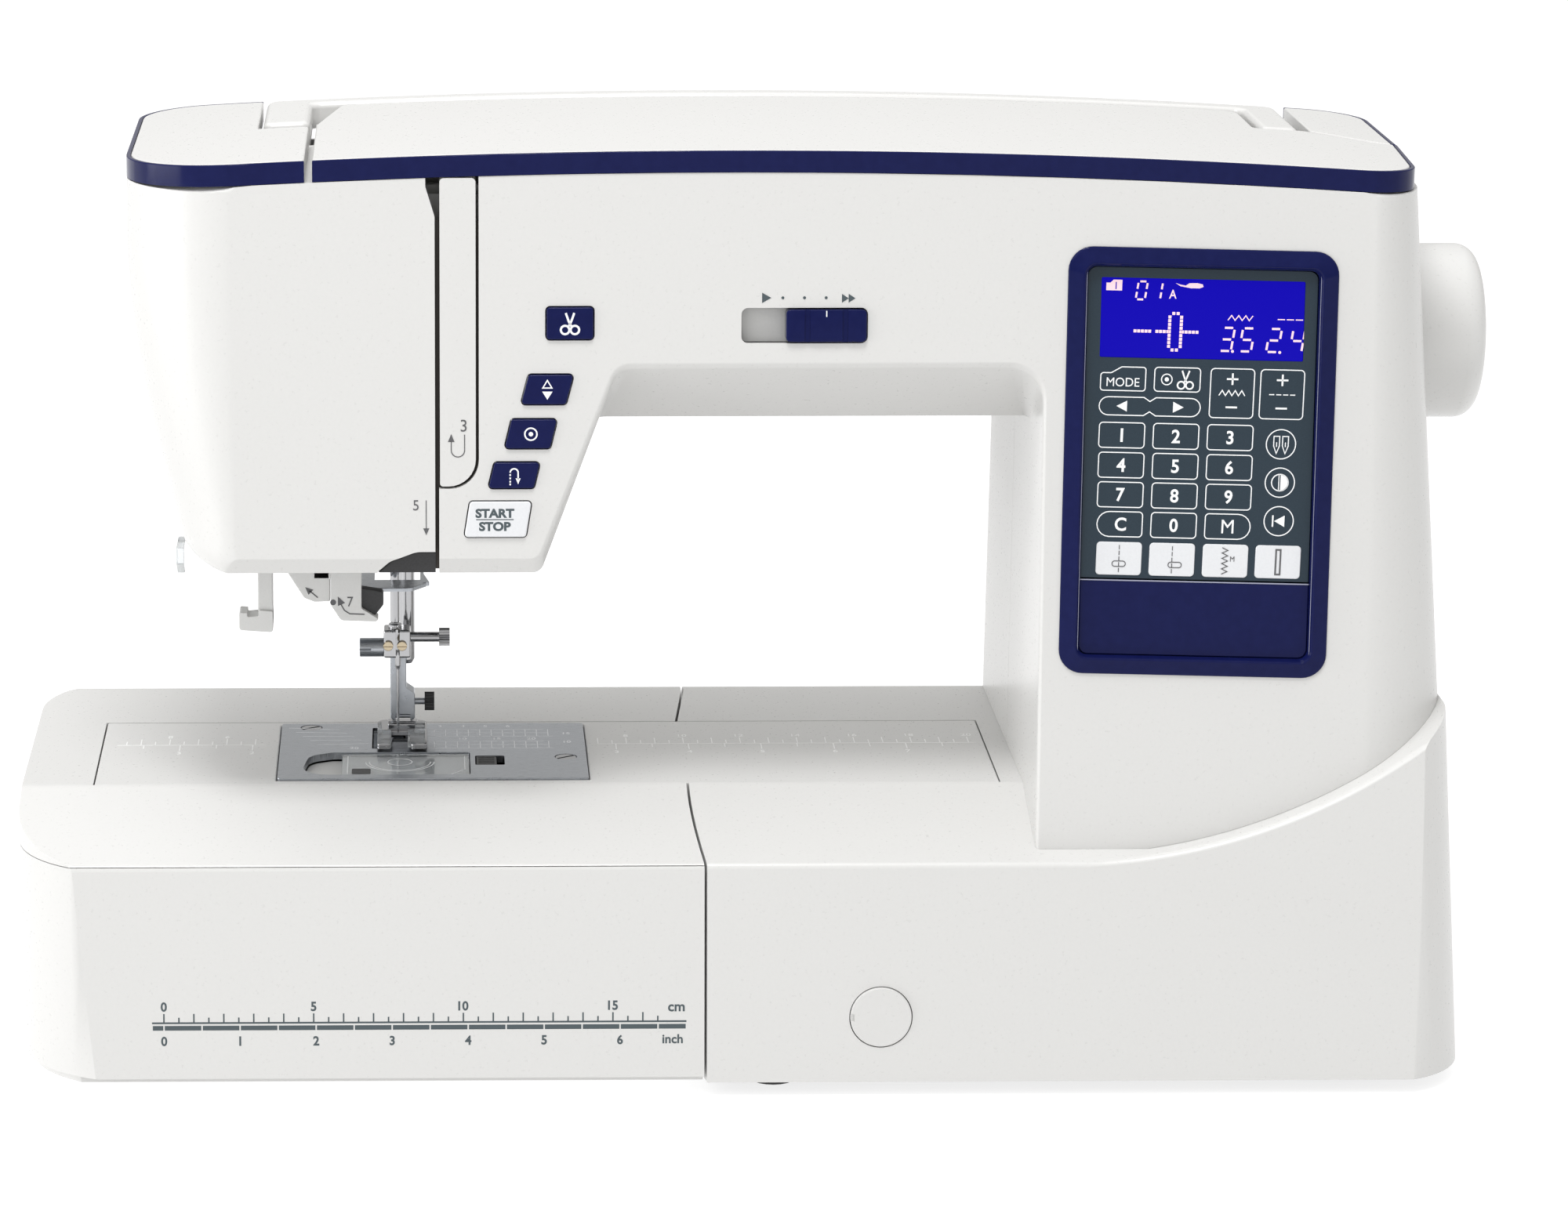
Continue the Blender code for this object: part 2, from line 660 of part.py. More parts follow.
def make_handle():
    """U-shaped carrying handle that lies folded to the rear and follows the crown."""
    front, bar_front, rear = HANDLE_PIVOT_Y - 4.0, 57.5, 67.5
    plan = rounded([(-167, front, 2), (-151, front, 2), (-151, bar_front, 2), (175, bar_front, 2),
                    (175, front, 2), (188, front, 2), (188, rear, 4), (-167, rear, 4)], 2)
    publish(crowned("handle", plan, 8.0, 0.8), "carry_handle", WHITE,
            (0, HANDLE_PIVOT_Y, HANDLE_PIVOT_Z))


# ---------------------------------------------------------------- base and free arm

def section_outline(grow=0.0):
    """The lower body seen from the left end, as (y, z)."""
    return rounded([(BASE_FRONT - grow, BODY_BOTTOM, 0),
                    (APRON_FRONT_Y - grow, APRON_FRONT_Z, 2.5),
                    (APRON_CREASE_Y, BED_TOP + grow, 10), (REAR_TRIM + grow, BED_TOP + grow, 22),
                    (REAR_TRIM + grow, BODY_BOTTOM, 0)])


def plan_prism(name, left, right, corners, grow=0.0, top=170.0):
    """A vertical prism whose ends lean in: left and right are functions of z."""
    front_left, front_right, rear_right, rear_left = corners
    rings = []
    for z in (-2.0, 60.0, 110.0, top):
        ring = rounded([(left(z) - grow, BASE_FRONT - 3 - grow, front_left),
                        (right(z) + grow, BASE_FRONT - 3 - grow, front_right),
                        (right(z) + grow, BASE_REAR + grow, rear_right),
                        (left(z) - grow, BASE_REAR + grow, rear_left)], steps=7)
        rings.append([(x, y, z) for x, y in ring])
    return loft(name, rings)


def split_edge(side):
    """The curved joint between table and base; side -1 is the table's, +1 the base's."""
    clear = 0.3 * side
    return [(SPLIT_X + clear, -130), (SPLIT_X + clear, BASE_FRONT),
            (SPLIT_X - SPLIT_INSET + clear, APRON_CREASE_Y),
            (SPLIT_X - SPLIT_INSET + clear, FREE_ARM_REAR), (SPLIT_X + clear, 76),
            (SPLIT_X + clear, 130)]


def base_solid(name, grow=0.0, with_plan=True):
    """Envelope of the base: the bed in front of and behind the free arm, and the hip."""
    body = extruded(name, section_outline(grow), SPLIT_X - 10, 245, "YZ")
    stations = [HIP_START_X + step * 10 for step in range(15)]
    rings = []
    for depth, drop in ((0.0, 2.0), (2.5, 0.0), (BASE_REAR - BASE_FRONT + 3, 0.0)):
        outline = [(93 - grow, 6.0), (93 - grow, HIP_START_Z + grow - drop)]
        outline += [(x, hip_z(x) + grow - drop) for x in stations]
        outline.append((stations[-1], 6.0))
        rings.append([(x, base_front_y(z) + depth - grow, z) for x, z in outline])
    unite(body, loft("hip_block", rings))
    if with_plan:
        overlap_of(body, plan_prism("base_plan", lambda z: -60.0, right_x, (0, 33, 30, 0), grow))
    return body


def make_base():
    body = base_solid("base")
    hollow = extruded("base_hollow", [(y * 0.965, z - WALL) for y, z in section_outline()],
                      SPLIT_X + 3, 245, "YZ")
    unite(hollow, box("bottom_opening", (SPLIT_X + 3, -95.0, -5), (245, 96.0, 20)))
    overlap_of(hollow, plan_prism("hollow_plan", lambda z: -60.0, right_x,
                                  (0, 33 - WALL, 30 - WALL, 0), -WALL))
    unite(hollow, box("column_well", (97, -80, 40), (224, 76, 170)))
    subtract(body, hollow)
    keep = split_edge(1) + [(260, 130), (260, -130)]
    overlap_of(body, extruded("base_side", keep, 0, 170))
    subtract(body, box("free_arm_opening", (-60, FREE_ARM_FRONT - GAP, 0),
                       (FREE_ARM_RIGHT + GAP, FREE_ARM_REAR + GAP, 120)))
    subtract(body, rod("knee_hole", (39.9, -110, 27.5), (39.9, -90, 27.5), 10.8, 24))
    subtract(body, box("inlet_hole", (215, 30, 22), (260, 58, 46)))
    subtract(body, box("switch_hole", (215, -3, 24), (260, 11, 44)))
    subtract(body, rod("jack_hole", (215, -30, 34), (260, -30, 34), 6.3, 20))
    publish(body, "base_cover", WHITE)

    plate = extruded("plate", rounded([(SPLIT_X + 4, -93, 0), (223, -93, 24), (223, 94, 24),
                                       (SPLIT_X + 4, 94, 0), (SPLIT_X + 4, 31.5, 0),
                                       (-205, 31.5, 12), (-205, -45.5, 12),
                                       (SPLIT_X + 4, -45.5, 0)]), 5.2, 8.2)
    publish(plate, "bottom_plate", DARK)
    feet = {"foot_front_left": (5, -80), "foot_front_right": (200, -72),
            "foot_rear_right": (200, 74), "foot_rear_left": (5, 80)}
    for name, (x, y) in feet.items():
        foot = rod(name, (x, y, 0), (x, y, 4.9), 8.0, 20, 9.5)
        publish(foot, name, RUBBER)
    cap = rod("cap", (39.9, -99.8, 27.5), (39.9, -96.5, 27.5), 10.3, 28)
    publish(cap, "knee_lifter_cap", WHITE)

    side = SOCKET_SIDE
    inlet = box("inlet", (side - 17.8, 31, 23), (side - 2.3, 57, 45), 1.0)
    subtract(inlet, box("inlet_socket", (side - 10.8, 34, 27), (side + 4, 54, 41)))
    for y in (40.0, 48.0):
        unite(inlet, rod("inlet_pin", (side - 14.8, y, 34), (side - 3.8, y, 34), 1.2, 8))
    jack = tube("jack", (side - 14.8, -30, 34), (side - 1.3, -30, 34), 5.8, 2.0, 20)
    unite(jack, box("socket_bridge", (side - 18.8, -34, 28), (side - 12.8, 50, 40)))
    publish(unite(inlet, jack), "power_and_pedal_sockets", DARK)
    inner, outer, dip = side - 11.3, side - 0.6, side - 2.2
    rocker = extruded("rocker", rounded([(inner, 24.8, 0), (outer, 24.8, 0), (dip, 34, 0),
                                         (outer, 43.2, 0), (inner, 43.2, 0)]), -2.4, 10.4, "XZ")
    publish(rocker, "power_switch", DARK, (side - 9.8, 4, 34))


def make_free_arm():
    cover = box("cover", (FREE_ARM_LEFT, FREE_ARM_FRONT, FREE_ARM_UNDERSIDE),
                (FREE_ARM_RIGHT, FREE_ARM_REAR, BED_TOP))
    subtract(cover, box("arm_hollow", (FREE_ARM_LEFT + 3, FREE_ARM_FRONT + WALL,
                                       FREE_ARM_UNDERSIDE + WALL),
                        (100, FREE_ARM_REAR - WALL, BED_TOP - WALL)))
    subtract(cover, box("plate_opening", (PLATE_LEFT - GAP, PLATE_FRONT - GAP, 80),
                        (PLATE_RIGHT + GAP, PLATE_REAR + GAP, 120)))
    publish(cover, "free_arm_cover", WHITE)


def make_table():
    section = extruded("table", section_outline(), TABLE_LEFT - 5, SPLIT_X + 5, "YZ")
    corners = (42, 0, 0, 47)
    overlap_of(section, plan_prism("table_plan", lambda z: TABLE_LEFT + 1.2 - 0.008 * min(z, BED_TOP),
                                   lambda z: 20.0, corners))
    side = extruded("table_side", split_edge(-1) + [(-270, 130), (-270, -130)], 0, 120)
    overlap_of(section, copy_of(side, "table_trim"))
    # The lid is the lower front skin, wrapped round the front left corner.
    inner_section = extruded("lid_core", [(y + (3.0 if y < -60 else 0), z) for y, z in
                                          section_outline()], TABLE_LEFT - 5, SPLIT_X + 5, "YZ")
    overlap_of(inner_section, plan_prism("lid_core_plan",
                                         lambda z: TABLE_LEFT + 4.2 - 0.008 * min(z, BED_TOP),
                                         lambda z: 20.0, (39, 0, 0, 44)))
    overlap_of(inner_section, side)
    lid = overlap_of(copy_of(section, "lid"),
                     box("lid_region", (-260, -120, 7), (0, -48.5, LID_SEAM_Z)))
    combine(lid, inner_section, "DIFFERENCE", keep_tool=True)
    publish(lid, "storage_lid", WHITE, (-134, -97.5, 43.0))

    core = overlap_of(inner_section, box("core_region", (-260, -120, BODY_BOTTOM), (0, -40, 82)))
    core.data.transform(Matrix.Translation((0.0, GAP * MM, 0.0)))
    overlap_of(core, box("core_left", (TABLE_LEFT + 3 + GAP, -120, 0), (0, -40, 90)))
    subtract(section, box("lid_space", (-270, -120, 0), (0, -48.2, LID_SEAM_Z + GAP)))
    unite(section, core)
    subtract(section, box("compartment", (-232, -120, 9), (-28, -52.5, 76)))
    subtract(section, box("arm_channel", (FREE_ARM_LEFT - GAP - 0.1, FREE_ARM_FRONT - GAP, -5),
                          (20, FREE_ARM_REAR + GAP, 120)))
    subtract(section, box("rear_hollow", (-204, 37, -5), (-27, 93, 86)))
    subtract(section, box("end_hollow", (-241, -44, -5), (-229, 30, 90)))
    publish(section, "extension_table", WHITE)


# ---------------------------------------------------------------- drive

def make_frame():
    """Cast C-frame: a rib behind the shafts with bearing lugs for them."""
    outline = rounded([(-150, 281, 4), (-150, 229, 4), (104, 229, 8), (104, 74, 8), (-200, 74, 4),
                       (-200, 50, 4), (213, 50, 6), (213, 281, 6)], steps=2)
    frame = extruded("frame", outline, 24, 30, "XZ")
    for x in (-60, 60, 182):
        unite(frame, box("upper_lug", (x - 5, 1, 230), (x + 5, 26, 250)))
    for x in (-60, 60, 182):
        unite(frame, box("lower_lug", (x - 5, 1, 50.5), (x + 5, 26, 66)))
    unite(frame, box("hook_bracket", (-140, -28, 49.2), (-100, 26, 52.4)))
    subtract(frame, rod("upper_bore", (-80, SHAFT_Y, SHAFT_Z), (200, SHAFT_Y, SHAFT_Z), 6.5, 20))
    subtract(frame, rod("lower_bore", (-80, LOWER_SHAFT_Y, LOWER_SHAFT_Z),
                        (200, LOWER_SHAFT_Y, LOWER_SHAFT_Z), 4.5, 20))
    subtract(frame, rod("hook_bore", (HOOK_X, HOOK_Y, 45), (HOOK_X, HOOK_Y, 56), 3.5, 16))
    publish(frame, "frame_casting", CAST)


def make_shafts():
    main = rod("main", (-103, SHAFT_Y, SHAFT_Z), (216.2, SHAFT_Y, SHAFT_Z), 6.0, 16)
    unite(main, rod("crank_disc", (-106, SHAFT_Y, SHAFT_Z), (-100, SHAFT_Y, SHAFT_Z), 13.0, 24))
    unite(main, rod("upper_pulley", (197, SHAFT_Y, SHAFT_Z), (207, SHAFT_Y, SHAFT_Z),
                    PULLEY_RADIUS, 24))
    publish(main, "main_shaft", STEEL, (0, SHAFT_Y, SHAFT_Z))

    edge = WHEEL_EDGE
    rim = [(WHEEL_RADIUS - edge + edge * math.sin(angle), WHEEL_DEPTH - edge + edge * math.cos(angle))
           for angle in [math.radians(15 * step) for step in range(7)]]
    profile = [(0, WHEEL_DEPTH - 1.0), (14.0, WHEEL_DEPTH - 1.0), (15.5, WHEEL_DEPTH)] + rim
    profile += [(WHEEL_RADIUS, 1.0), (WHEEL_RADIUS - 1, 0.0), (11.5, 0.0), (11.5, -7.0), (0, -7.0)]
    wheel = turned("handwheel", profile, (WHEEL_RIGHT - WHEEL_DEPTH, SHAFT_Y, SHAFT_Z), (1, 0, 0),
                   40)
    publish(wheel, "handwheel", WHITE, (WHEEL_RIGHT, SHAFT_Y, SHAFT_Z))

    lower = rod("lower", (-134, LOWER_SHAFT_Y, LOWER_SHAFT_Z),
                (212, LOWER_SHAFT_Y, LOWER_SHAFT_Z), 4.0, 16)
    unite(lower, rod("hook_gear", (HOOK_X - 6, LOWER_SHAFT_Y, LOWER_SHAFT_Z),
                     (HOOK_X + 6, LOWER_SHAFT_Y, LOWER_SHAFT_Z), 5.2, 20))
    unite(lower, rod("lower_pulley", (197, LOWER_SHAFT_Y, LOWER_SHAFT_Z),
                     (207, LOWER_SHAFT_Y, LOWER_SHAFT_Z), PULLEY_RADIUS, 24))
    publish(lower, "lower_shaft", STEEL, (0, LOWER_SHAFT_Y, LOWER_SHAFT_Z))

    def belt_loop(radius):
        """Stadium round both pulleys, as (y, z)."""
        start = Vector((LOWER_SHAFT_Y, LOWER_SHAFT_Z))
        end = Vector((SHAFT_Y, SHAFT_Z))
        lean = math.atan2(end.y - start.y, end.x - start.x)
        points = []
        for centre, first in ((end, lean - math.pi / 2), (start, lean + math.pi / 2)):
            for step in range(9):
                angle = first + math.pi * step / 8
                points.append(centre + Vector((math.cos(angle), math.sin(angle))) * radius)
        return points

    belt = extruded("belt", belt_loop(PULLEY_RADIUS + 2.2), 198, 206, "YZ")
    subtract(belt, extruded("belt_inside", belt_loop(PULLEY_RADIUS + 0.7), 190, 215, "YZ"))
    publish(belt, "timing_belt", RUBBER)

    motor = rod("motor", (112, -34, 42), (170, -34, 42), 24.0, 24)
    unite(motor, rod("motor_boss", (168, -34, 42), (174, -34, 42), 9.0, 16))
    unite(motor, rod("motor_shaft", (172, -34, 42), (188, -34, 42), 2.5, 12))
    unite(motor, box("motor_mount", (122, -52, 8.6), (160, -16, 26)))
    publish(motor, "main_motor", DARK)
    publish(box("board", (104, -62, 128), (186, -60.4, 272)), "control_board", BOARD)


def make_hook():
    axis = (0, 0, 1)
    profile = [(16.8, 86.0), (18.5, 86.0), (18.5, 66.0), (10.0, 63.6), (8.0, 63.6), (8.0, 54.6),
               (3.1, 54.6), (3.1, 49.4), (0, 49.4)]
    profile = [(0, 67.5), (16.8, 67.5)] + profile
    hook = turned("hook", profile, (HOOK_X, HOOK_Y, 0), axis, 28)
    publish(hook, "rotary_hook", STEEL, (HOOK_X, HOOK_Y, 66))
    holder = [(0, 69.6), (11.3, 69.6), (11.3, 86.0), (16.3, 86.0), (16.3, 68.2), (0, 68.2)]
    publish(turned("holder", holder, (HOOK_X, HOOK_Y, 0), axis, 28), "bobbin_holder", DARK)
    spool = [(3.0, 81.6), (3.0, 70.2), (10.3, 70.2), (10.3, 71.2), (4.5, 71.4), (4.5, 80.4),
             (10.3, 80.6), (10.3, 81.6), (3.0, 81.6)]
    publish(turned("bobbin", spool, (HOOK_X, HOOK_Y, 0), axis, 24), "bobbin", CLEAR,
            (HOOK_X, HOOK_Y, 70.2))


def make_needle_plate():
    top = BED_TOP + 0.2
    plate = box("plate", (PLATE_LEFT, PLATE_FRONT, BED_TOP - 1.8), (PLATE_RIGHT, PLATE_REAR, top))
    subtract(plate, box("cover_opening", (-141.3, -38.1, 90), (-96.7, -9.7, 100)))
    subtract(plate, extruded("finger_recess", rounded([(-154.5, -38.1, 13.5), (-140, -38.1, 0),
                                                       (-140, -9.7, 0), (-154.5, -9.7, 13.5)], 5),
                             90, 100))
    subtract(plate, box("release_opening", (-95.0, -26.2, 90), (-84.8, -14.4, 100)))
    subtract(plate, box("needle_hole", (-127.2, 3.2, 90), (-116.2, 6.8, 100)))
    for low_x, high_x, low_y in ((-130.6, -127.6, -5), (-124.1, -119.4, 8), (-115.6, -112.5, -5)):
        subtract(plate, box("feed_slot", (low_x, low_y, 90), (high_x, 23, 100)))
    for x, y in ((-152.4, 23.3), (-63.5, -16.2)):
        unite(plate, rod("plate_screw", (x, y, 93), (x, y, top + 0.5), 3.8, 20))
    publish(plate, "needle_plate", STEEL)
    cover = box("cover", (-141, -37.8, BED_TOP - 1.6), (-97, -10, top))
    publish(cover, "bobbin_cover", CLEAR, (-119, -24, top))
    publish(box("release", (-94.7, -25.9, BED_TOP - 1.6), (-87.5, -14.7, top)),
            "cover_release_button", DARK, (-91, -20.3, top))

    dog = box("dog", (-131.0, 11, 84.5), (-112.2, 20.5, 90.5))
    for low_x, high_x, low_y in ((-130.3, -127.9, -2), (-123.8, -119.7, 11), (-115.3, -112.8, -2)):
        unite(dog, box("teeth", (low_x, low_y, 89.6), (high_x, 20, top + 0.1)))
    publish(dog, "feed_dog", STEEL, (-121.6, 11, 90))
    publish(box("feed_bar", (-146, 11.5, 77.5), (-97, 20, 84.0), 1.0), "feed_bar", STEEL,
            (-121.6, 15, 80))


# ---------------------------------------------------------------- needle and presser foot

SWING_PIVOT_Z = 290.0


def make_needle_group():
    pivot = (NEEDLE_BAR_X, NEEDLE_Y, SWING_PIVOT_Z)
    carrier = box("carrier", (-136, 0, 190), (-130, 10, 282))
    for low_z in (190, 262):
        guide = box("guide", (-132, 0, low_z), (-117.5, 10, low_z + 12))
        unite(carrier, guide)
    unite(carrier, box("swing_lug", (-136, -1, 280), (-118, 11, 283.5)))
    subtract(carrier, rod("bar_bore", (NEEDLE_BAR_X, NEEDLE_Y, 180),
                          (NEEDLE_BAR_X, NEEDLE_Y, 279), 2.1, 16))
    publish(carrier, "needle_bar_frame", CAST, pivot)
    bar = rod("bar", (NEEDLE_BAR_X, NEEDLE_Y, 138.3), (NEEDLE_BAR_X, NEEDLE_Y, 272), 1.65, 16)
    publish(bar, "needle_bar", CHROME, (NEEDLE_BAR_X, NEEDLE_Y, 138.3))
    clamp = box("clamp", (-126.6, 0.6, 128), (-117.2, 9.6, 138), 1.0)
    unite(clamp, rod("threader_guide", (-135, NEEDLE_Y, 129.3), (-125, NEEDLE_Y, 129.3), 3.3, 20))
    unite(clamp, rod("clamp_screw", (-119, NEEDLE_Y, 133), (-106.5, NEEDLE_Y, 133), 1.8, 14))
    unite(clamp, rod("clamp_knob", (-107.2, NEEDLE_Y, 133), (-103.6, NEEDLE_Y, 133), 3.1, 20))
    publish(clamp, "needle_clamp", CHROME, (NEEDLE_X, NEEDLE_Y, 133))
    needle = rod("needle", (NEEDLE_X, NEEDLE_Y, 127.7), (NEEDLE_X, NEEDLE_Y, 122), 1.0, 12)
    unite(needle, rod("blade", (NEEDLE_X, NEEDLE_Y, 123), (NEEDLE_X, NEEDLE_Y, 101.5), 0.5, 10),
          rod("point", (NEEDLE_X, NEEDLE_Y, 102), (NEEDLE_X, NEEDLE_Y, NEEDLE_TIP_Z), 0.5, 10, 0.08))
    publish(needle, "needle", CHROME, (NEEDLE_X, NEEDLE_Y, NEEDLE_TIP_Z))

    lever = rounded([(-14, 230, 4), (-4, 230, 4), (-4, 241, 4), (-57, 272, 2), (-62, 266, 2)], 2)
    publish(extruded("lever", lever, -111.5, -108.5, "YZ"), "take_up_lever", CHROME,
            (-110, -9, 235))


def make_presser_group():
    bar = rod("presser", (PRESSER_X, PRESSER_Y, 112.3), (PRESSER_X, PRESSER_Y, 272), 2.6, 16)
    publish(bar, "presser_bar", CHROME, (PRESSER_X, PRESSER_Y, 112.3))
    holder = box("holder", (-124.4, 11.2, 101.0), (-115.4, 20.2, 112), 0.8)
    unite(holder, rod("screw", (-117, 15.7, 107), (-111.5, 15.7, 107), 1.2, 12))
    unite(holder, rod("knob", (-112.4, 15.7, 107), (-108.9, 15.7, 107), 3.3, 20))
    publish(holder, "foot_holder", CHROME, (PRESSER_X, PRESSER_Y, 101))
    sole = extruded("sole", rounded([(-129, -9, 2), (-111.6, -9, 2), (-111.6, 25, 4),
                                     (-129, 25, 4)], 3), 96.2, 98.2)
    subtract(sole, box("needle_gap", (-127.3, 1.8, 90), (-116.0, 8.4, 100)))
    subtract(sole, box("toe_gap", (-123.0, -12, 90), (-118.0, 3, 100)))
    unite(sole, box("heel", (-125.4, 10.5, 97.5), (-114.6, 17.5, 100.6)))
    publish(sole, "presser_foot", CHROME, (-120.3, 14, 99.4))

    lifter = box("lifter", (-110, 52, 205), (-98, 93, 210), 1.2)
    unite(lifter, rod("lifter_pivot", (-114, 56, 207.5), (-94, 56, 207.5), 4.0, 16))
    publish(lifter, "presser_foot_lifter", WHITE, (-104, 56, 207.5))

    guide = box("guide", (-141, -13, 153.6), (-110.4, 24, 154.8))
    subtract(guide, box("guide_gap", (-129.6, -1, 150), (-113.4, 21, 158)))
    unite(guide, box("guide_stem", (-141, 13, 154), (-137, 22, 200)))
    publish(guide, "thread_guide_plate", CHROME)


def make_threader():
    lever = box("threader", (-165, -46, 150), (-162, -38, 196))
    unite(lever, box("finger_hook", (-174, -47, 149.6), (-161.6, -37, 153.8), 1.0))
    wing = rounded([(-159, 168, 0), (-152, 156, 3), (-144, 152, 3), (-126, 152, 2), (-126, 155, 1),
                    (-131, 158, 1), (-131, 168, 0)], 2)
    unite(lever, extruded("wing", wing, -48, -40, "XZ"))
    unite(lever, box("stem", (-150, -47, 166), (-143, -39, 196)))
    unite(lever, box("bridge", (-165, -46.5, 192), (-143, -38.5, 198)))
    publish(lever, "needle_threader", WHITE, (-150, -43, 196))


def main():
    make_housing(base_solid("base_clearance", GAP, with_plan=False))
    make_panel()
    make_buttons()
    make_top()
    make_handle()
    make_base()
    make_free_arm()
    make_table()
    make_frame()
    make_shafts()
    make_hook()
    make_needle_plate()
    make_needle_group()
    make_presser_group()
    make_threader()
    for leftover in list(CUTTERS.objects):
        bpy.data.objects.remove(leftover, do_unlink=True)


main()
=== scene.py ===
import math

import bmesh
import bpy
from mathutils import Matrix, Vector


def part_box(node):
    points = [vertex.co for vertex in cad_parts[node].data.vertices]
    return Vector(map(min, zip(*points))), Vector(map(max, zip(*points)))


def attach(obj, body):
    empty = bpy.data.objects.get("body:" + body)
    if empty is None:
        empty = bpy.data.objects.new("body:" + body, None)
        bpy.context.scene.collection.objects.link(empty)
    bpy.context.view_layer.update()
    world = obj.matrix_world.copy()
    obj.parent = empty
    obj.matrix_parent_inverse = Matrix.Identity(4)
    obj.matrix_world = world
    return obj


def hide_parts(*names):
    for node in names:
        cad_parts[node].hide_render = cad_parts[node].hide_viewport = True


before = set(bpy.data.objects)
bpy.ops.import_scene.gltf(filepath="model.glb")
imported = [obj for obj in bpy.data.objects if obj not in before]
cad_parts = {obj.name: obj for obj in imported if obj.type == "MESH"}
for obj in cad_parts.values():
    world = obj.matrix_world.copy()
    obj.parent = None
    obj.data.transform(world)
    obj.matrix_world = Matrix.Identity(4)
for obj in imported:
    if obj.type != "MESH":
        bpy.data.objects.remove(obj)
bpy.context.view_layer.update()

MM = 0.001
GAP = 0.3
WALL = 2.5

# ------------------------------------------------------------ dimensions read from the frame


def low(node):
    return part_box(node)[0] / MM


def high(node):
    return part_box(node)[1] / MM


BED_TOP = high("free_arm_cover").z
FREE_LEFT, FREE_FRONT = low("free_arm_cover").x, low("free_arm_cover").y
FREE_RIGHT, FREE_REAR = high("free_arm_cover").x, high("free_arm_cover").y
PLATE_LOW, PLATE_HIGH = low("needle_plate"), high("needle_plate")
HEAD_LEFT = low("face_cover").x
TOP_CROWN = high("lid_band").z
WHEEL_LOW, WHEEL_HIGH = low("handwheel"), high("handwheel")
BASE_FRONT, BASE_REAR = low("base_cover").y, high("base_cover").y
BODY_BOTTOM = low("base_cover").z

# Shapes shared with the frame, in millimetres
FACE_LEAN = math.tan(math.radians(4.0))
FACE_TILT = math.radians(-4.0)
FACE_Y, FACE_Z = -88.0, 83.0
HOUSING_REAR = 84.0
PARTING_Y = 2.0
HEAD_BOTTOM = 176.0
THROAT_RIGHT = 91.5
THROAT_TOP, THROAT_TOP_FRONT, ARM_SLOPE_DEPTH = 222.0, 245.0, 31.7
BAND_HEIGHT, BAND_DEPTH = 7.0, 1.6
TOP_FRONT = -72.5
HEAD_CORNER, COLUMN_CORNER = 38.0, 28.0
APRON_FRONT_Z, APRON_FRONT_Y, APRON_CREASE_Y = 80.0, -96.5, -48.0
REAR_TRIM = 100.6
TABLE_LEFT, SPLIT_X, SPLIT_INSET, LID_SEAM_Z = -250.0, -18.6, 4.3, 79.5
HIP_RADIUS, HIP_START_X, HIP_START_Z = 200.0, 100.0, 80.4
SHAFT_Y, SHAFT_Z = 10.0, 240.0
SLOT_LEFT, CHANNEL_LEFT, CHANNEL_RIGHT, CHANNEL_BOTTOM = -108.3, -107.1, -95.3, 205.4
LID_LEFT, COVER_RIGHT = -148.6, -151.2
PANEL_X, PANEL_Z, PANEL_WIDTH, PANEL_HEIGHT, PANEL_ROLL = 143.0, 212.3, 89.0, 142.2, 1.5
PANEL_SHEAR = 0.019
NEEDLE_X, NEEDLE_Y, NEEDLE_BAR_X = -121.7, 5.0, -122.6
PRESSER_X, PRESSER_Y = -118.4, 16.0


def face_y(z):
    return FACE_Y + (z - FACE_Z) * FACE_LEAN


def rear_y(z):
    return HOUSING_REAR - (z - FACE_Z) * FACE_LEAN


def top_z(x):
    return TOP_CROWN - (x + 12.0) ** 2 / 6200.0


def deck_z(x):
    return top_z(x) - BAND_HEIGHT - GAP


def right_x(z):
    return 238.9 - 0.0715 * z


def head_left_x(z):
    return HEAD_LEFT + max(0.0, 280.0 - z) ** 1.6 * 0.0118


def base_front_y(z):
    return BASE_FRONT + (z - BODY_BOTTOM) * (APRON_FRONT_Y - BASE_FRONT) / (APRON_FRONT_Z - BODY_BOTTOM)


def hip_z(x):
    reach = max(0.0, x - HIP_START_X)
    return HIP_START_Z + HIP_RADIUS - math.sqrt(HIP_RADIUS ** 2 - reach ** 2)


# ------------------------------------------------------------ camera, light and floor

CAMERA_AT = (-0.1128, -1.7421, 0.5749)
CAMERA_YAW = math.radians(0.749)
CAMERA_PITCH = math.radians(13.904)


def make_camera():
    data = bpy.data.cameras.new("camera")
    data.sensor_width = 36.0
    data.lens = 118.62
    data.shift_x = 0.1883
    camera = bpy.data.objects.new("camera", data)
    camera.location = CAMERA_AT
    camera.rotation_euler = (math.pi / 2 - CAMERA_PITCH, 0.0, -CAMERA_YAW)
    bpy.context.scene.collection.objects.link(camera)
    bpy.context.scene.camera = camera


def make_light(name, location, size, power, aim=(0.0, 0.0, 0.15), colour=(1, 1, 1)):
    data = bpy.data.lights.new(name, "AREA")
    data.shape = "RECTANGLE"
    data.size, data.size_y = size
    data.energy = power
    data.color = colour
    lamp = bpy.data.objects.new(name, data)
    lamp.location = location
    lamp.rotation_mode = "QUATERNION"
    lamp.rotation_quaternion = (Vector(aim) - Vector(location)).to_track_quat("-Z", "Y")
    bpy.context.scene.collection.objects.link(lamp)


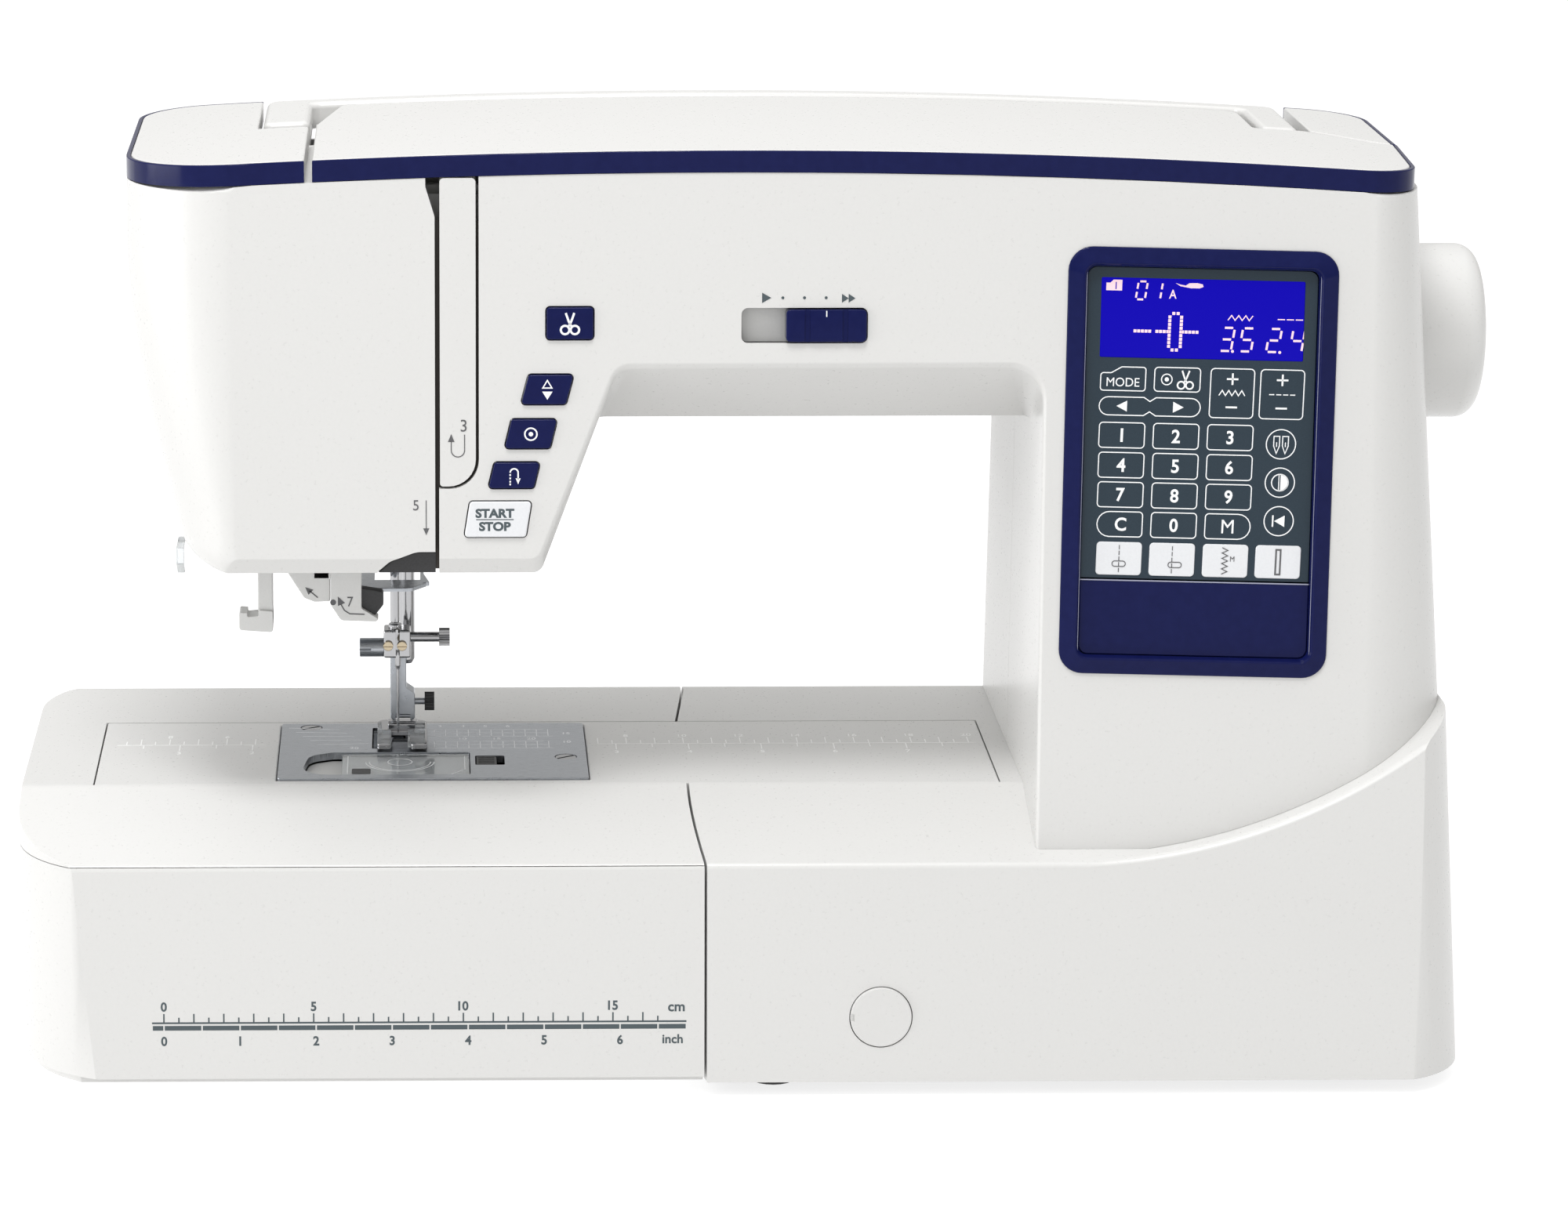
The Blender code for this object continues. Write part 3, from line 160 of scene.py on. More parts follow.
def make_world():
    """A soft tent: bright overhead, dimmer towards the horizon."""
    world = bpy.data.worlds.new("studio")
    world.use_nodes = True
    nodes, links = world.node_tree.nodes, world.node_tree.links
    place = nodes.new("ShaderNodeTexCoord")
    split = nodes.new("ShaderNodeSeparateXYZ")
    ramp = nodes.new("ShaderNodeValToRGB")
    ramp.color_ramp.elements[0].color = (*HORIZON, 1)
    ramp.color_ramp.elements[1].color = (*ZENITH, 1)
    links.new(place.outputs["Generated"], split.inputs["Vector"])
    links.new(split.outputs["Z"], ramp.inputs["Fac"])
    links.new(ramp.outputs["Color"], nodes["Background"].inputs["Color"])
    bpy.context.scene.world = world


HORIZON = (0.42, 0.415, 0.4)
ZENITH = (1.0, 1.0, 1.0)


def make_studio():
    make_world()
    bpy.context.scene.view_settings.view_transform = "Standard"
    make_light("key_left", (-1.3, -1.5, 1.7), (1.0, 1.0), 4.0)
    make_light("fill_left", (-2.0, -0.3, 0.32), (1.6, 0.6), 16.0)
    make_light("top", (0.0, 0.3, 1.9), (2.2, 1.6), 6.5)
    make_light("bed", (-0.2, -0.62, 1.7), (0.5, 0.4), 15.0, (-0.1, -0.07, 0.09))
    floor = bmesh.new()
    bmesh.ops.create_grid(floor, x_segments=1, y_segments=1, size=6.0)
    mesh = bpy.data.meshes.new("floor")
    floor.to_mesh(mesh)
    floor.free()
    made = bpy.data.objects.new("floor", mesh)
    bpy.context.scene.collection.objects.link(made)
    white = new_material("floor_white", (0.3, 0.3, 0.3), 0.6, Emission_Color=(1, 1, 1, 1),
                         Emission_Strength=0.8)
    mesh.materials.append(white)


# ------------------------------------------------------------ materials

def new_material(name, colour, roughness, metallic=0.0, **sockets):
    made = bpy.data.materials.new(name)
    made.use_nodes = True
    shader = made.node_tree.nodes["Principled BSDF"]
    shader.inputs["Base Color"].default_value = (*colour, 1.0)
    shader.inputs["Roughness"].default_value = roughness
    shader.inputs["Metallic"].default_value = metallic
    for socket, value in sockets.items():
        shader.inputs[socket.replace("_", " ")].default_value = value
    return made


def add_texture(material, scale, colours=None, roughness=None, bump=0.0, stretch=(1, 1, 1), detail=3.0):
    """Fine noise that varies colour, roughness and height."""
    nodes, links = material.node_tree.nodes, material.node_tree.links
    shader = nodes["Principled BSDF"]
    place = nodes.new("ShaderNodeTexCoord")
    mapping = nodes.new("ShaderNodeMapping")
    mapping.inputs["Scale"].default_value = stretch
    noise = nodes.new("ShaderNodeTexNoise")
    noise.inputs["Scale"].default_value = scale
    noise.inputs["Detail"].default_value = detail
    links.new(place.outputs["Object"], mapping.inputs["Vector"])
    links.new(mapping.outputs["Vector"], noise.inputs["Vector"])
    if colours:
        ramp = nodes.new("ShaderNodeValToRGB")
        ramp.color_ramp.elements[0].position = 0.3
        ramp.color_ramp.elements[1].position = 0.7
        ramp.color_ramp.elements[0].color = (*colours[0], 1)
        ramp.color_ramp.elements[1].color = (*colours[1], 1)
        links.new(noise.outputs["Fac"], ramp.inputs["Fac"])
        links.new(ramp.outputs["Color"], shader.inputs["Base Color"])
    if roughness:
        span = nodes.new("ShaderNodeMapRange")
        span.inputs["From Min"].default_value = 0.3
        span.inputs["From Max"].default_value = 0.7
        span.inputs["To Min"].default_value = roughness[0]
        span.inputs["To Max"].default_value = roughness[1]
        links.new(noise.outputs["Fac"], span.inputs["Value"])
        links.new(span.outputs["Result"], shader.inputs["Roughness"])
    if bump:
        height = nodes.new("ShaderNodeBump")
        height.inputs["Strength"].default_value = 0.25
        height.inputs["Distance"].default_value = bump
        links.new(noise.outputs["Fac"], height.inputs["Height"])
        links.new(height.outputs["Normal"], shader.inputs["Normal"])
    return material


def make_materials():
    made = {}
    made["white"] = add_texture(new_material("white_plastic", (0.64, 0.637, 0.626), 0.3),
                                900.0, ((0.634, 0.631, 0.62), (0.646, 0.643, 0.632)), (0.27, 0.34),
                                0.00002)
    made["white_satin"] = add_texture(new_material("white_satin", (0.64, 0.64, 0.63), 0.42),
                                      1400.0, ((0.63, 0.63, 0.62), (0.65, 0.65, 0.64)), (0.38, 0.46),
                                      0.00003)
    made["navy"] = add_texture(new_material("navy_gloss", (0.005, 0.008, 0.06), 0.12,
                                            Specular_IOR_Level=0.12),
                               300.0, ((0.0045, 0.007, 0.056), (0.006, 0.009, 0.064)), (0.1, 0.15))
    made["slate"] = add_texture(new_material("slate_overlay", (0.02, 0.035, 0.05), 0.38,
                                             Specular_IOR_Level=0.3),
                                2500.0, ((0.018, 0.032, 0.046), (0.022, 0.038, 0.054)), (0.34, 0.42),
                                0.00002)
    made["dark"] = add_texture(new_material("dark_plastic", (0.02, 0.02, 0.022), 0.45),
                               1500.0, ((0.017, 0.017, 0.018), (0.028, 0.028, 0.03)), (0.4, 0.5), 0.00003)
    made["slot"] = new_material("slot_shadow", (0.03, 0.025, 0.022), 0.8)
    made["steel"] = add_texture(new_material("brushed_steel", (0.45, 0.47, 0.5), 0.3, 1.0),
                                220.0, ((0.38, 0.4, 0.43), (0.5, 0.52, 0.55)), (0.24, 0.38), 0.00002,
                                (1.0, 30.0, 1.0), 4.0)
    made["chrome"] = add_texture(new_material("polished_chrome", (0.42, 0.42, 0.43), 0.1, 1.0),
                                 500.0, None, (0.08, 0.15))
    made["brass"] = add_texture(new_material("brass_screw", (0.5, 0.42, 0.3), 0.2, 1.0),
                                500.0, None, (0.16, 0.26))
    made["cast"] = add_texture(new_material("cast_aluminium", (0.5, 0.5, 0.51), 0.5, 1.0),
                               400.0, ((0.44, 0.44, 0.45), (0.56, 0.56, 0.57)), (0.42, 0.6), 0.0001)
    made["rubber"] = add_texture(new_material("rubber", (0.03, 0.03, 0.03), 0.8),
                                 900.0, ((0.025, 0.025, 0.025), (0.04, 0.04, 0.04)), (0.7, 0.85), 0.0001)
    made["board"] = add_texture(new_material("board_green", (0.02, 0.18, 0.07), 0.4),
                                300.0, ((0.015, 0.14, 0.05), (0.03, 0.22, 0.09)), (0.35, 0.5))
    made["clear"] = new_material("clear_plastic", (0.9, 0.93, 0.95), 0.08, Transmission_Weight=0.85,
                                 IOR=1.49)
    made["ink_grey"] = new_material("ink_grey", (0.1, 0.1, 0.105), 0.6)
    made["ink_slate"] = new_material("ink_slate", (0.06, 0.08, 0.09), 0.55)
    # pale lines along the panel bezel's inner edge and its seam: painted highlight where those edges catch
    # the light
    made["painted_edge_highlight"] = new_material("painted_edge_highlight", (0.3, 0.31, 0.4), 0.3)
    made["ink_white"] = new_material("ink_white", (0.85, 0.86, 0.87), 0.5)
    made["key_white"] = add_texture(new_material("key_white", (0.7, 0.71, 0.73), 0.4),
                                    1500.0, ((0.69, 0.7, 0.72), (0.72, 0.73, 0.75)), (0.36, 0.44), 0.00002)
    # raised scale marks get a lighter white than the plastic: the extra brightness is painted highlight on
    # their edges
    made["emboss"] = new_material("emboss_highlight", (0.93, 0.93, 0.925), 0.3)
    made["engrave"] = new_material("engraved_line", (0.85, 0.86, 0.88), 0.5)
    display = new_material("display_blue", (0.002, 0.001, 0.06), 0.12, Specular_IOR_Level=0.08)
    shader = display.node_tree.nodes["Principled BSDF"]
    shader.inputs["Emission Color"].default_value = (0.003, 0.0, 0.4, 1.0)
    shader.inputs["Emission Strength"].default_value = 1.0
    made["display"] = display
    segment = new_material("display_segment", (0.75, 0.55, 0.6), 0.4)
    glow = segment.node_tree.nodes["Principled BSDF"]
    glow.inputs["Emission Color"].default_value = (0.8, 0.5, 0.55, 1.0)
    glow.inputs["Emission Strength"].default_value = 0.35
    made["segment"] = segment
    return made


LOOK = make_materials()


# ------------------------------------------------------------ shape helpers

PLANES = {"XY": Matrix.Identity(3),
          "XZ": Matrix(((1, 0, 0), (0, 0, -1), (0, 1, 0))),
          "YZ": Matrix(((0, 0, 1), (1, 0, 0), (0, 1, 0)))}


def add_object(name, mesh):
    made = bpy.data.objects.new(name, mesh)
    bpy.context.scene.collection.objects.link(made)
    return made


def mesh_from(name, shape):
    bmesh.ops.recalc_face_normals(shape, faces=shape.faces)
    mesh = bpy.data.meshes.new(name)
    shape.to_mesh(mesh)
    shape.free()
    return mesh


def edit(made, work):
    """Runs work on a bmesh of the object's mesh and writes it back."""
    shape = bmesh.new()
    shape.from_mesh(made.data)
    work(shape)
    shape.to_mesh(made.data)
    shape.free()
    return made


def box(low_corner, high_corner, bevel=0.0, segments=3):
    low_corner, high_corner = Vector(low_corner) * MM, Vector(high_corner) * MM
    shape = bmesh.new()
    bmesh.ops.create_cube(shape, size=1.0)
    place = Matrix.Translation((low_corner + high_corner) / 2)
    place = place @ Matrix.Diagonal((*(high_corner - low_corner), 1.0))
    bmesh.ops.transform(shape, matrix=place, verts=shape.verts)
    if bevel:
        bmesh.ops.bevel(shape, geom=shape.edges[:], offset=bevel * MM, segments=segments,
                        affect="EDGES", profile=0.5)
    return add_object("box", mesh_from("box", shape))


def rod(start, end, radius, sides=32, end_radius=None, bevel=0.0):
    start, end = Vector(start) * MM, Vector(end) * MM
    shape = bmesh.new()
    far = radius if end_radius is None else end_radius
    bmesh.ops.create_cone(shape, cap_ends=True, segments=sides, radius1=radius * MM,
                          radius2=far * MM, depth=(end - start).length)
    if bevel:
        rims = [edge for edge in shape.edges if edge.calc_face_angle() > 1.0]
        bmesh.ops.bevel(shape, geom=rims, offset=bevel * MM, segments=2, affect="EDGES", profile=0.5)
    turn = Vector((0, 0, 1)).rotation_difference(end - start).to_matrix().to_4x4()
    bmesh.ops.transform(shape, matrix=Matrix.Translation((start + end) / 2) @ turn, verts=shape.verts)
    return add_object("rod", mesh_from("rod", shape))


def turned(profile, centre, axis, sides=64):
    """A shape of revolution through (radius, height) points."""
    shape = bmesh.new()
    points = [shape.verts.new((r * MM, 0.0, h * MM)) for r, h in profile]
    edges = [shape.edges.new(pair) for pair in zip(points, points[1:])]
    bmesh.ops.spin(shape, geom=points + edges, axis=(0, 0, 1), cent=(0, 0, 0), steps=sides,
                   angle=2 * math.pi, use_merge=True)
    bmesh.ops.remove_doubles(shape, verts=shape.verts, dist=0.000002)
    turn = Vector((0, 0, 1)).rotation_difference(Vector(axis)).to_matrix().to_4x4()
    bmesh.ops.transform(shape, matrix=Matrix.Translation(Vector(centre) * MM) @ turn, verts=shape.verts)
    return add_object("turned", mesh_from("turned", shape))


def rounded(corners, steps=8):
    """An outline from (u, v, radius) corners, with arcs at the corners."""
    points = []
    for index, (u, v, radius) in enumerate(corners):
        corner = Vector((u, v))
        if radius <= 0:
            points.append(corner)
            continue
        before = (Vector(corners[index - 1][:2]) - corner).normalized()
        after = (Vector(corners[(index + 1) % len(corners)][:2]) - corner).normalized()
        half = before.angle(after) / 2
        centre = corner + (before + after).normalized() * radius / math.sin(half)
        reach = radius / math.tan(half)
        first = corner + before * reach - centre
        last = corner + after * reach - centre
        sweep = first.angle(last)
        for step in range(steps + 1):
            share = step / steps
            arm = first * math.sin((1 - share) * sweep) + last * math.sin(share * sweep)
            points.append(centre + arm / math.sin(sweep))
    return points


def rectangle(u_low, v_low, u_high, v_high, radius=0.0):
    return [(u_low, v_low, radius), (u_high, v_low, radius), (u_high, v_high, radius),
            (u_low, v_high, radius)]


def inset(outline, distance):
    """An outline moved inwards; it runs anticlockwise."""
    moved = []
    count = len(outline)
    for index in range(count):
        here = Vector(outline[index])
        before = (here - Vector(outline[index - 1])).normalized()
        after = (Vector(outline[(index + 1) % count]) - here).normalized()
        inward = Vector((-before.y - after.y, before.x + after.x)).normalized()
        lean = max(0.35, inward.dot(Vector((-after.y, after.x))))
        moved.append(here + inward * distance / lean)
    return moved


def loft(rings, ring_closed=False):
    """A closed solid through rings of equal point counts, capped or joined end to end."""
    shape = bmesh.new()
    rows = [[shape.verts.new(Vector(point) * MM) for point in ring] for ring in rings]
    count = len(rings[0])
    pairs = list(zip(rows, rows[1:]))
    if ring_closed:
        pairs.append((rows[-1], rows[0]))
    for lower, upper in pairs:
        for index in range(count):
            after = (index + 1) % count
            shape.faces.new((lower[index], lower[after], upper[after], upper[index]))
    if not ring_closed:
        shape.faces.new(rows[0])
        shape.faces.new(rows[-1])
    return add_object("loft", mesh_from("loft", shape))


def on_plane(point, depth, plane):
    """A flat point lifted out by depth along the plane's +X, +Y or +Z."""
    if plane == "XZ":
        return (point[0], depth, point[1])
    return PLANES[plane] @ Vector((point[0], point[1], depth))


def plate(outline, back, front, plane="XY", edge=0.4, steps=3):
    """A flat outline between two levels; edge rounds the rim at the front level."""
    area = sum(a[0] * b[1] - b[0] * a[1] for a, b in zip(outline, outline[1:] + outline[:1]))
    if area < 0:
        outline = outline[::-1]
    way = 1.0 if front > back else -1.0
    levels = [(0.0, back)]
    for step in range(steps + 1):
        angle = math.pi / 2 * step / steps
        if edge or step == 0:
            levels.append((edge * (1 - math.cos(angle)), front - way * edge * (1 - math.sin(angle))))
    rings = [[on_plane(point, level, plane) for point in (inset(outline, shift) if shift else outline)]
             for shift, level in levels]
    return loft(rings)


def extruded(outline, low_level, high_level, plane="XY"):
    return plate(outline, low_level, high_level, plane, 0.0)


def is_closed(mesh):
    shape = bmesh.new()
    shape.from_mesh(mesh)
    closed = len(shape.faces) > 0 and all(edge.is_manifold for edge in shape.edges)
    shape.free()
    return closed


def combine(target, tool, operation, keep_tool=False):
    before = target.data
    for solver in ("MANIFOLD", "EXACT"):
        target.data = before
        step = target.modifiers.new("combine", "BOOLEAN")
        step.operation = operation
        step.solver = solver
        step.object = tool
        graph = bpy.context.evaluated_depsgraph_get()
        mesh = bpy.data.meshes.new_from_object(target.evaluated_get(graph))
        target.modifiers.clear()
        target.data = mesh
        if is_closed(mesh):
            break
    if not keep_tool:
        bpy.data.objects.remove(tool, do_unlink=True)
    return target


def subtract(target, *tools):
    for tool in tools:
        combine(target, tool, "DIFFERENCE")
    return target


def unite(target, *tools):
    for tool in tools:
        combine(target, tool, "UNION")
    return target


def overlap_of(target, *tools):
    for tool in tools:
        combine(target, tool, "INTERSECT")
    return target


def copy_of(source):
    return add_object("copy", source.data.copy())


def joined(*pieces):
    """Separate closed shells kept in one mesh."""
    shape = bmesh.new()
    for piece in pieces:
        shape.from_mesh(piece.data)
    mesh = bpy.data.meshes.new("joined")
    shape.to_mesh(mesh)
    shape.free()
    for piece in pieces:
        bpy.data.objects.remove(piece, do_unlink=True)
    return add_object("joined", mesh)


def moved(made, matrix):
    made.data.transform(matrix)
    return made


def round_edges(made, width, where=None, sharper_than=50.0, segments=2):
    """Rounds the sharp edges of a cut shell, where a test on their middle says so."""
    def work(shape):
        bmesh.ops.dissolve_limit(shape, angle_limit=math.radians(0.3), verts=shape.verts,
                                 edges=shape.edges)
        chosen = []
        for edge in shape.edges:
            if not edge.is_manifold or edge.calc_face_angle() < math.radians(sharper_than):
                continue
            middle = (edge.verts[0].co + edge.verts[1].co) / 2 / MM
            if where is None or where(middle):
                chosen.append(edge)
        bmesh.ops.bevel(shape, geom=chosen, offset=width * MM, segments=segments, profile=0.5,
                        affect="EDGES", clamp_overlap=True)
    return edit(made, work)


def on_face(made, x, z, roll=0.0):
    """Moves a piece built about the origin onto the leaning front face."""
    return moved(made, face_place(x, z, roll))


def face_place(x, z, roll=0.0):
    turn = Matrix.Rotation(FACE_TILT, 4, "X") @ Matrix.Rotation(math.radians(roll), 4, "Y")
    return Matrix.Translation(Vector((x, face_y(z), z)) * MM) @ turn


def publish(made, name, body, material, replaces=(), smooth=35.0):
    """Names a finished piece, gives it its material and hands it to its body."""
    made.name = name
    made.data.name = name
    made.data.materials.clear()
    made.data.materials.append(LOOK[material])
    for face in made.data.polygons:
        face.material_index = 0
    made.data.shade_smooth()
    made.data.set_sharp_from_angle(angle=math.radians(smooth))
    weigh = made.modifiers.new("weigh", "WEIGHTED_NORMAL")
    weigh.keep_sharp = True
    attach(made, body)
    if replaces:
        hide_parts(*replaces)
    return made


# ------------------------------------------------------------ head, arm and column

EDGE = 1.8                    # rounding of the covers' edges
BOTTOM_CHAMFER = 5.5


def housing_outline(slope, shrink, chamfer):
    """The covers seen from the front: head, arm and column around the throat."""
    throat_top = THROAT_TOP + (THROAT_TOP_FRONT - THROAT_TOP) * slope
    throat_left = -73.9 + 0.37 * (throat_top - 175.5)
    bottom = HEAD_BOTTOM + chamfer
    upper = [HEAD_LEFT + (right_x(305) - HEAD_LEFT) * step / 40 for step in range(41)]
    outline = [(x, deck_z(x), 0) for x in upper]
    outline += [(right_x(z), z, 0) for z in range(300, 60, -10)]
    outline += [(THROAT_RIGHT + shrink, 60, 0),
                (THROAT_RIGHT + shrink, throat_top + shrink, 3.0 + 9.0 * slope),
                (throat_left - shrink, throat_top + shrink, 7),
                (-73.9 - shrink, bottom, 4),
                (head_left_x(bottom + 3), bottom, 10)]
    outline += [(head_left_x(z), z, 0) for z in range(196, 300, 6)]
    return rounded(outline, steps=8)


def plan_squeeze(x, depth):
    """Quarter rounds at the ends of the plan."""
    def share(radius):
        reach = max(0.0, radius - depth) / radius
        return math.sqrt(1.0 - reach * reach)

    left_zone = HEAD_LEFT + HEAD_CORNER
    right_zone = right_x(HEAD_BOTTOM) - COLUMN_CORNER
    if x < left_zone:
        return left_zone + (x - left_zone) * share(HEAD_CORNER)
    if x > right_zone:
        return right_zone + (x - right_zone) * share(COLUMN_CORNER)
    return x


def housing_ring(depth, rear=False, offset=0.0):
    slope = 0.0 if rear else max(0.0, 1.0 - depth / ARM_SLOPE_DEPTH)
    shrink = EDGE - math.sqrt(EDGE ** 2 - max(0.0, EDGE - depth) ** 2) + offset
    chamfer = 0.0 if rear else BOTTOM_CHAMFER * max(0.0, 1.0 - depth / 3.0)
    chamfer = max(shrink, chamfer)
    ring = []
    for x, z in housing_outline(slope, shrink, chamfer):
        y = rear_y(z) - depth - offset if rear else face_y(z) + depth + offset
        x = plan_squeeze(x, depth)
        if offset:
            x = min(max(x, head_left_x(z) + offset), right_x(z) - offset)
            z = min(z, deck_z(x) - offset)
        ring.append((x, y, z))
    return ring


FRONT_DEPTHS = (0.06, 0.25, 0.6, 1.1, 1.8, 3.0, 4.6, 6.8, 9.6, 13.0, 17.0, 21.5, 26.5, 31.7, 38.0)
REAR_DEPTHS = (38.0, 28.0, 20.0, 13.0, 8.0, 4.5, 2.2, 1.0, 0.4, 0.06)
CORE_DEPTHS = (0.06, 1.1, 3.0, 9.6, 17.0, 31.7)


def housing_solid(offset, front=FRONT_DEPTHS, rear=REAR_DEPTHS):
    rings = [housing_ring(depth, False, offset) for depth in front]
    rings += [housing_ring(depth, True, offset) for depth in rear]
    return loft(rings)


def face_outline(low_x, low_z, high_x, high_z, radius, slant=0.0, steps=5):
    """A slanted rounded rectangle about its own middle."""
    width, height = (high_x - low_x) / 2, (high_z - low_z) / 2
    return rounded([(u + slant * v, v, r) for u, v, r in
                    rectangle(-width, -height, width, height, radius)], steps)


def face_hole(low_x, low_z, high_x, high_z, radius=1.5, roll=0.0, slant=0.0, depth=14):
    made = extruded(face_outline(low_x, low_z, high_x, high_z, radius, slant), -14, depth, "XZ")
    return on_face(made, (low_x + high_x) / 2, (low_z + high_z) / 2, roll)


# name: x low, z low, x high, z high, slant of the sides
BUTTONS = {"thread_cutter_button": (-72.1, 254.0, -56.7, 264.6, 0.0),
           "needle_position_button": (-79.2, 232.6, -64.4, 242.4, 0.26),
           "lock_stitch_button": (-84.7, 218.0, -69.7, 227.7, 0.24),
           "reverse_button": (-90.2, 204.8, -75.2, 213.4, 0.24),
           "start_stop_button": (-98.2, 188.6, -77.9, 200.4, 0.16)}
SLIDER_SLOT = (-8.1, 252.5, 33.4, 264.2)
SLIDER_KNOB = (6.5, 253.0, 33.0, 263.7)


def on_front_face(point):
    return abs(point.y - face_y(point.z)) < 0.4 and point.z < 304


def make_housing(base_shape):
    """Front, rear, face and thread channel covers, cut from one hollow envelope."""
    shell = housing_solid(0.0)
    subtract(shell, housing_solid(WALL, CORE_DEPTHS, (20.0, 8.0, 2.2, 0.06)), base_shape)
    subtract(shell, box((-141, -62, 280), (205, 54, 330)), box((-171, 55.5, 298.5), (191, 90, 330)))
    for left, right in ((-171, -149.6), (173, 191)):
        subtract(shell, box((left, 8, 298.5), (right, 90, 330)))
    subtract(shell, rod((195, SHAFT_Y, SHAFT_Z), (260, SHAFT_Y, SHAFT_Z), 13.0, 48),
             box((-156, -30, 168), (-98, 34, 190)), box((-112, 60, 200), (-96, 90, 240)))

    rear = overlap_of(copy_of(shell), box((-260, PARTING_Y + GAP, 0), (260, 120, 340)))
    publish(rear, "rear_cover_shell", "machine", "white", ["rear_cover"])

    front = overlap_of(shell, box((-260, -120, 0), (260, PARTING_Y, 340)))
    face = overlap_of(copy_of(front), box((-260, -130, 100), (SLOT_LEFT - 0.4, 60, 340)))
    subtract(face, box((-172, -60, 168), (-130, -33, 190)))
    flare = [(SLOT_LEFT - 3.6, 330), (SLOT_LEFT - 3.4, 304), (SLOT_LEFT, 293), (SLOT_LEFT + 6, 293),
             (SLOT_LEFT + 6, 330)]
    bracket = rounded([(-128.6, 170, 0), (-95, 170, 0), (-95, 183.6, 0), (-115.0, 183.6, 9),
                       (-123.6, 180.4, 6), (-127.8, 176.4, 1)], 6)
    subtract(face, extruded(flare, -130, -60, "XZ"), extruded(bracket, -130, -60, "XZ"))
    round_edges(face, 0.5, on_front_face)
    publish(face, "face_cover_shell", "machine", "white", ["face_cover"])

    channel_shape = rounded([(CHANNEL_LEFT, CHANNEL_BOTTOM, 1), (CHANNEL_RIGHT, CHANNEL_BOTTOM, 9),
                             (CHANNEL_RIGHT, deck_z(-101) - 0.3, 1.5),
                             (CHANNEL_LEFT, deck_z(-101) - 0.3, 1.5)])
    channel = overlap_of(copy_of(front), extruded(channel_shape, -130, -50, "XZ"))
    round_edges(channel, 0.6, on_front_face)
    publish(channel, "thread_channel_shell", "machine", "white", ["thread_channel_cover"])

    edge = CHANNEL_RIGHT + 1.0
    cut = rounded([(-260, 100, 0), (CHANNEL_LEFT - GAP, 100, 0),
                   (CHANNEL_LEFT - GAP, CHANNEL_BOTTOM - 0.8, 0), (edge, CHANNEL_BOTTOM - 0.8, 9.5),
                   (edge, 340, 0), (-260, 340, 0)])
    subtract(front, extruded(cut, -130, 60, "XZ"))
    for low_x, low_z, high_x, high_z, slant in BUTTONS.values():
        subtract(front, face_hole(low_x - 0.4, low_z - 0.4, high_x + 0.4, high_z + 0.4, 1.6, 0.0, slant))
    subtract(front, face_hole(*SLIDER_SLOT, radius=2.2))
    half_width, half_height = PANEL_WIDTH / 2 - 5, PANEL_HEIGHT / 2 - 5
    subtract(front, face_hole(PANEL_X - half_width, PANEL_Z - half_height, PANEL_X + half_width,
                              PANEL_Z + half_height, 4, PANEL_ROLL))
    round_edges(front, 0.45, on_front_face)
    publish(front, "front_cover_shell", "machine", "white", ["front_cover"])
    floor = on_face(extruded(face_outline(*SLIDER_SLOT, 2.0), 5.3, 6.3, "XZ"),
                    (SLIDER_SLOT[0] + SLIDER_SLOT[2]) / 2, (SLIDER_SLOT[1] + SLIDER_SLOT[3]) / 2)
    publish(floor, "slider_slot_floor", "machine", "white_satin")
    # A dark plate just behind the thread slot: painted shadow inside the slot.
    shadow_plate = on_face(box((-9.5, 2.9, -60.5), (8.5, 3.5, 55)), -100, 238)
    publish(shadow_plate, "thread_slot_painted_shadow", "machine", "slot")
    black = plate([(x, z) for x, z in inset(bracket, 0.3)], face_y(180) + 12, face_y(180) + 2.5, "XZ",
                  0.6)
    overlap_of(black, box((-140, -90, 176.2), (-108.6, -60, 190)))
    publish(black, "thread_guide_bracket", "machine", "dark")


# ------------------------------------------------------------ lettering and symbols

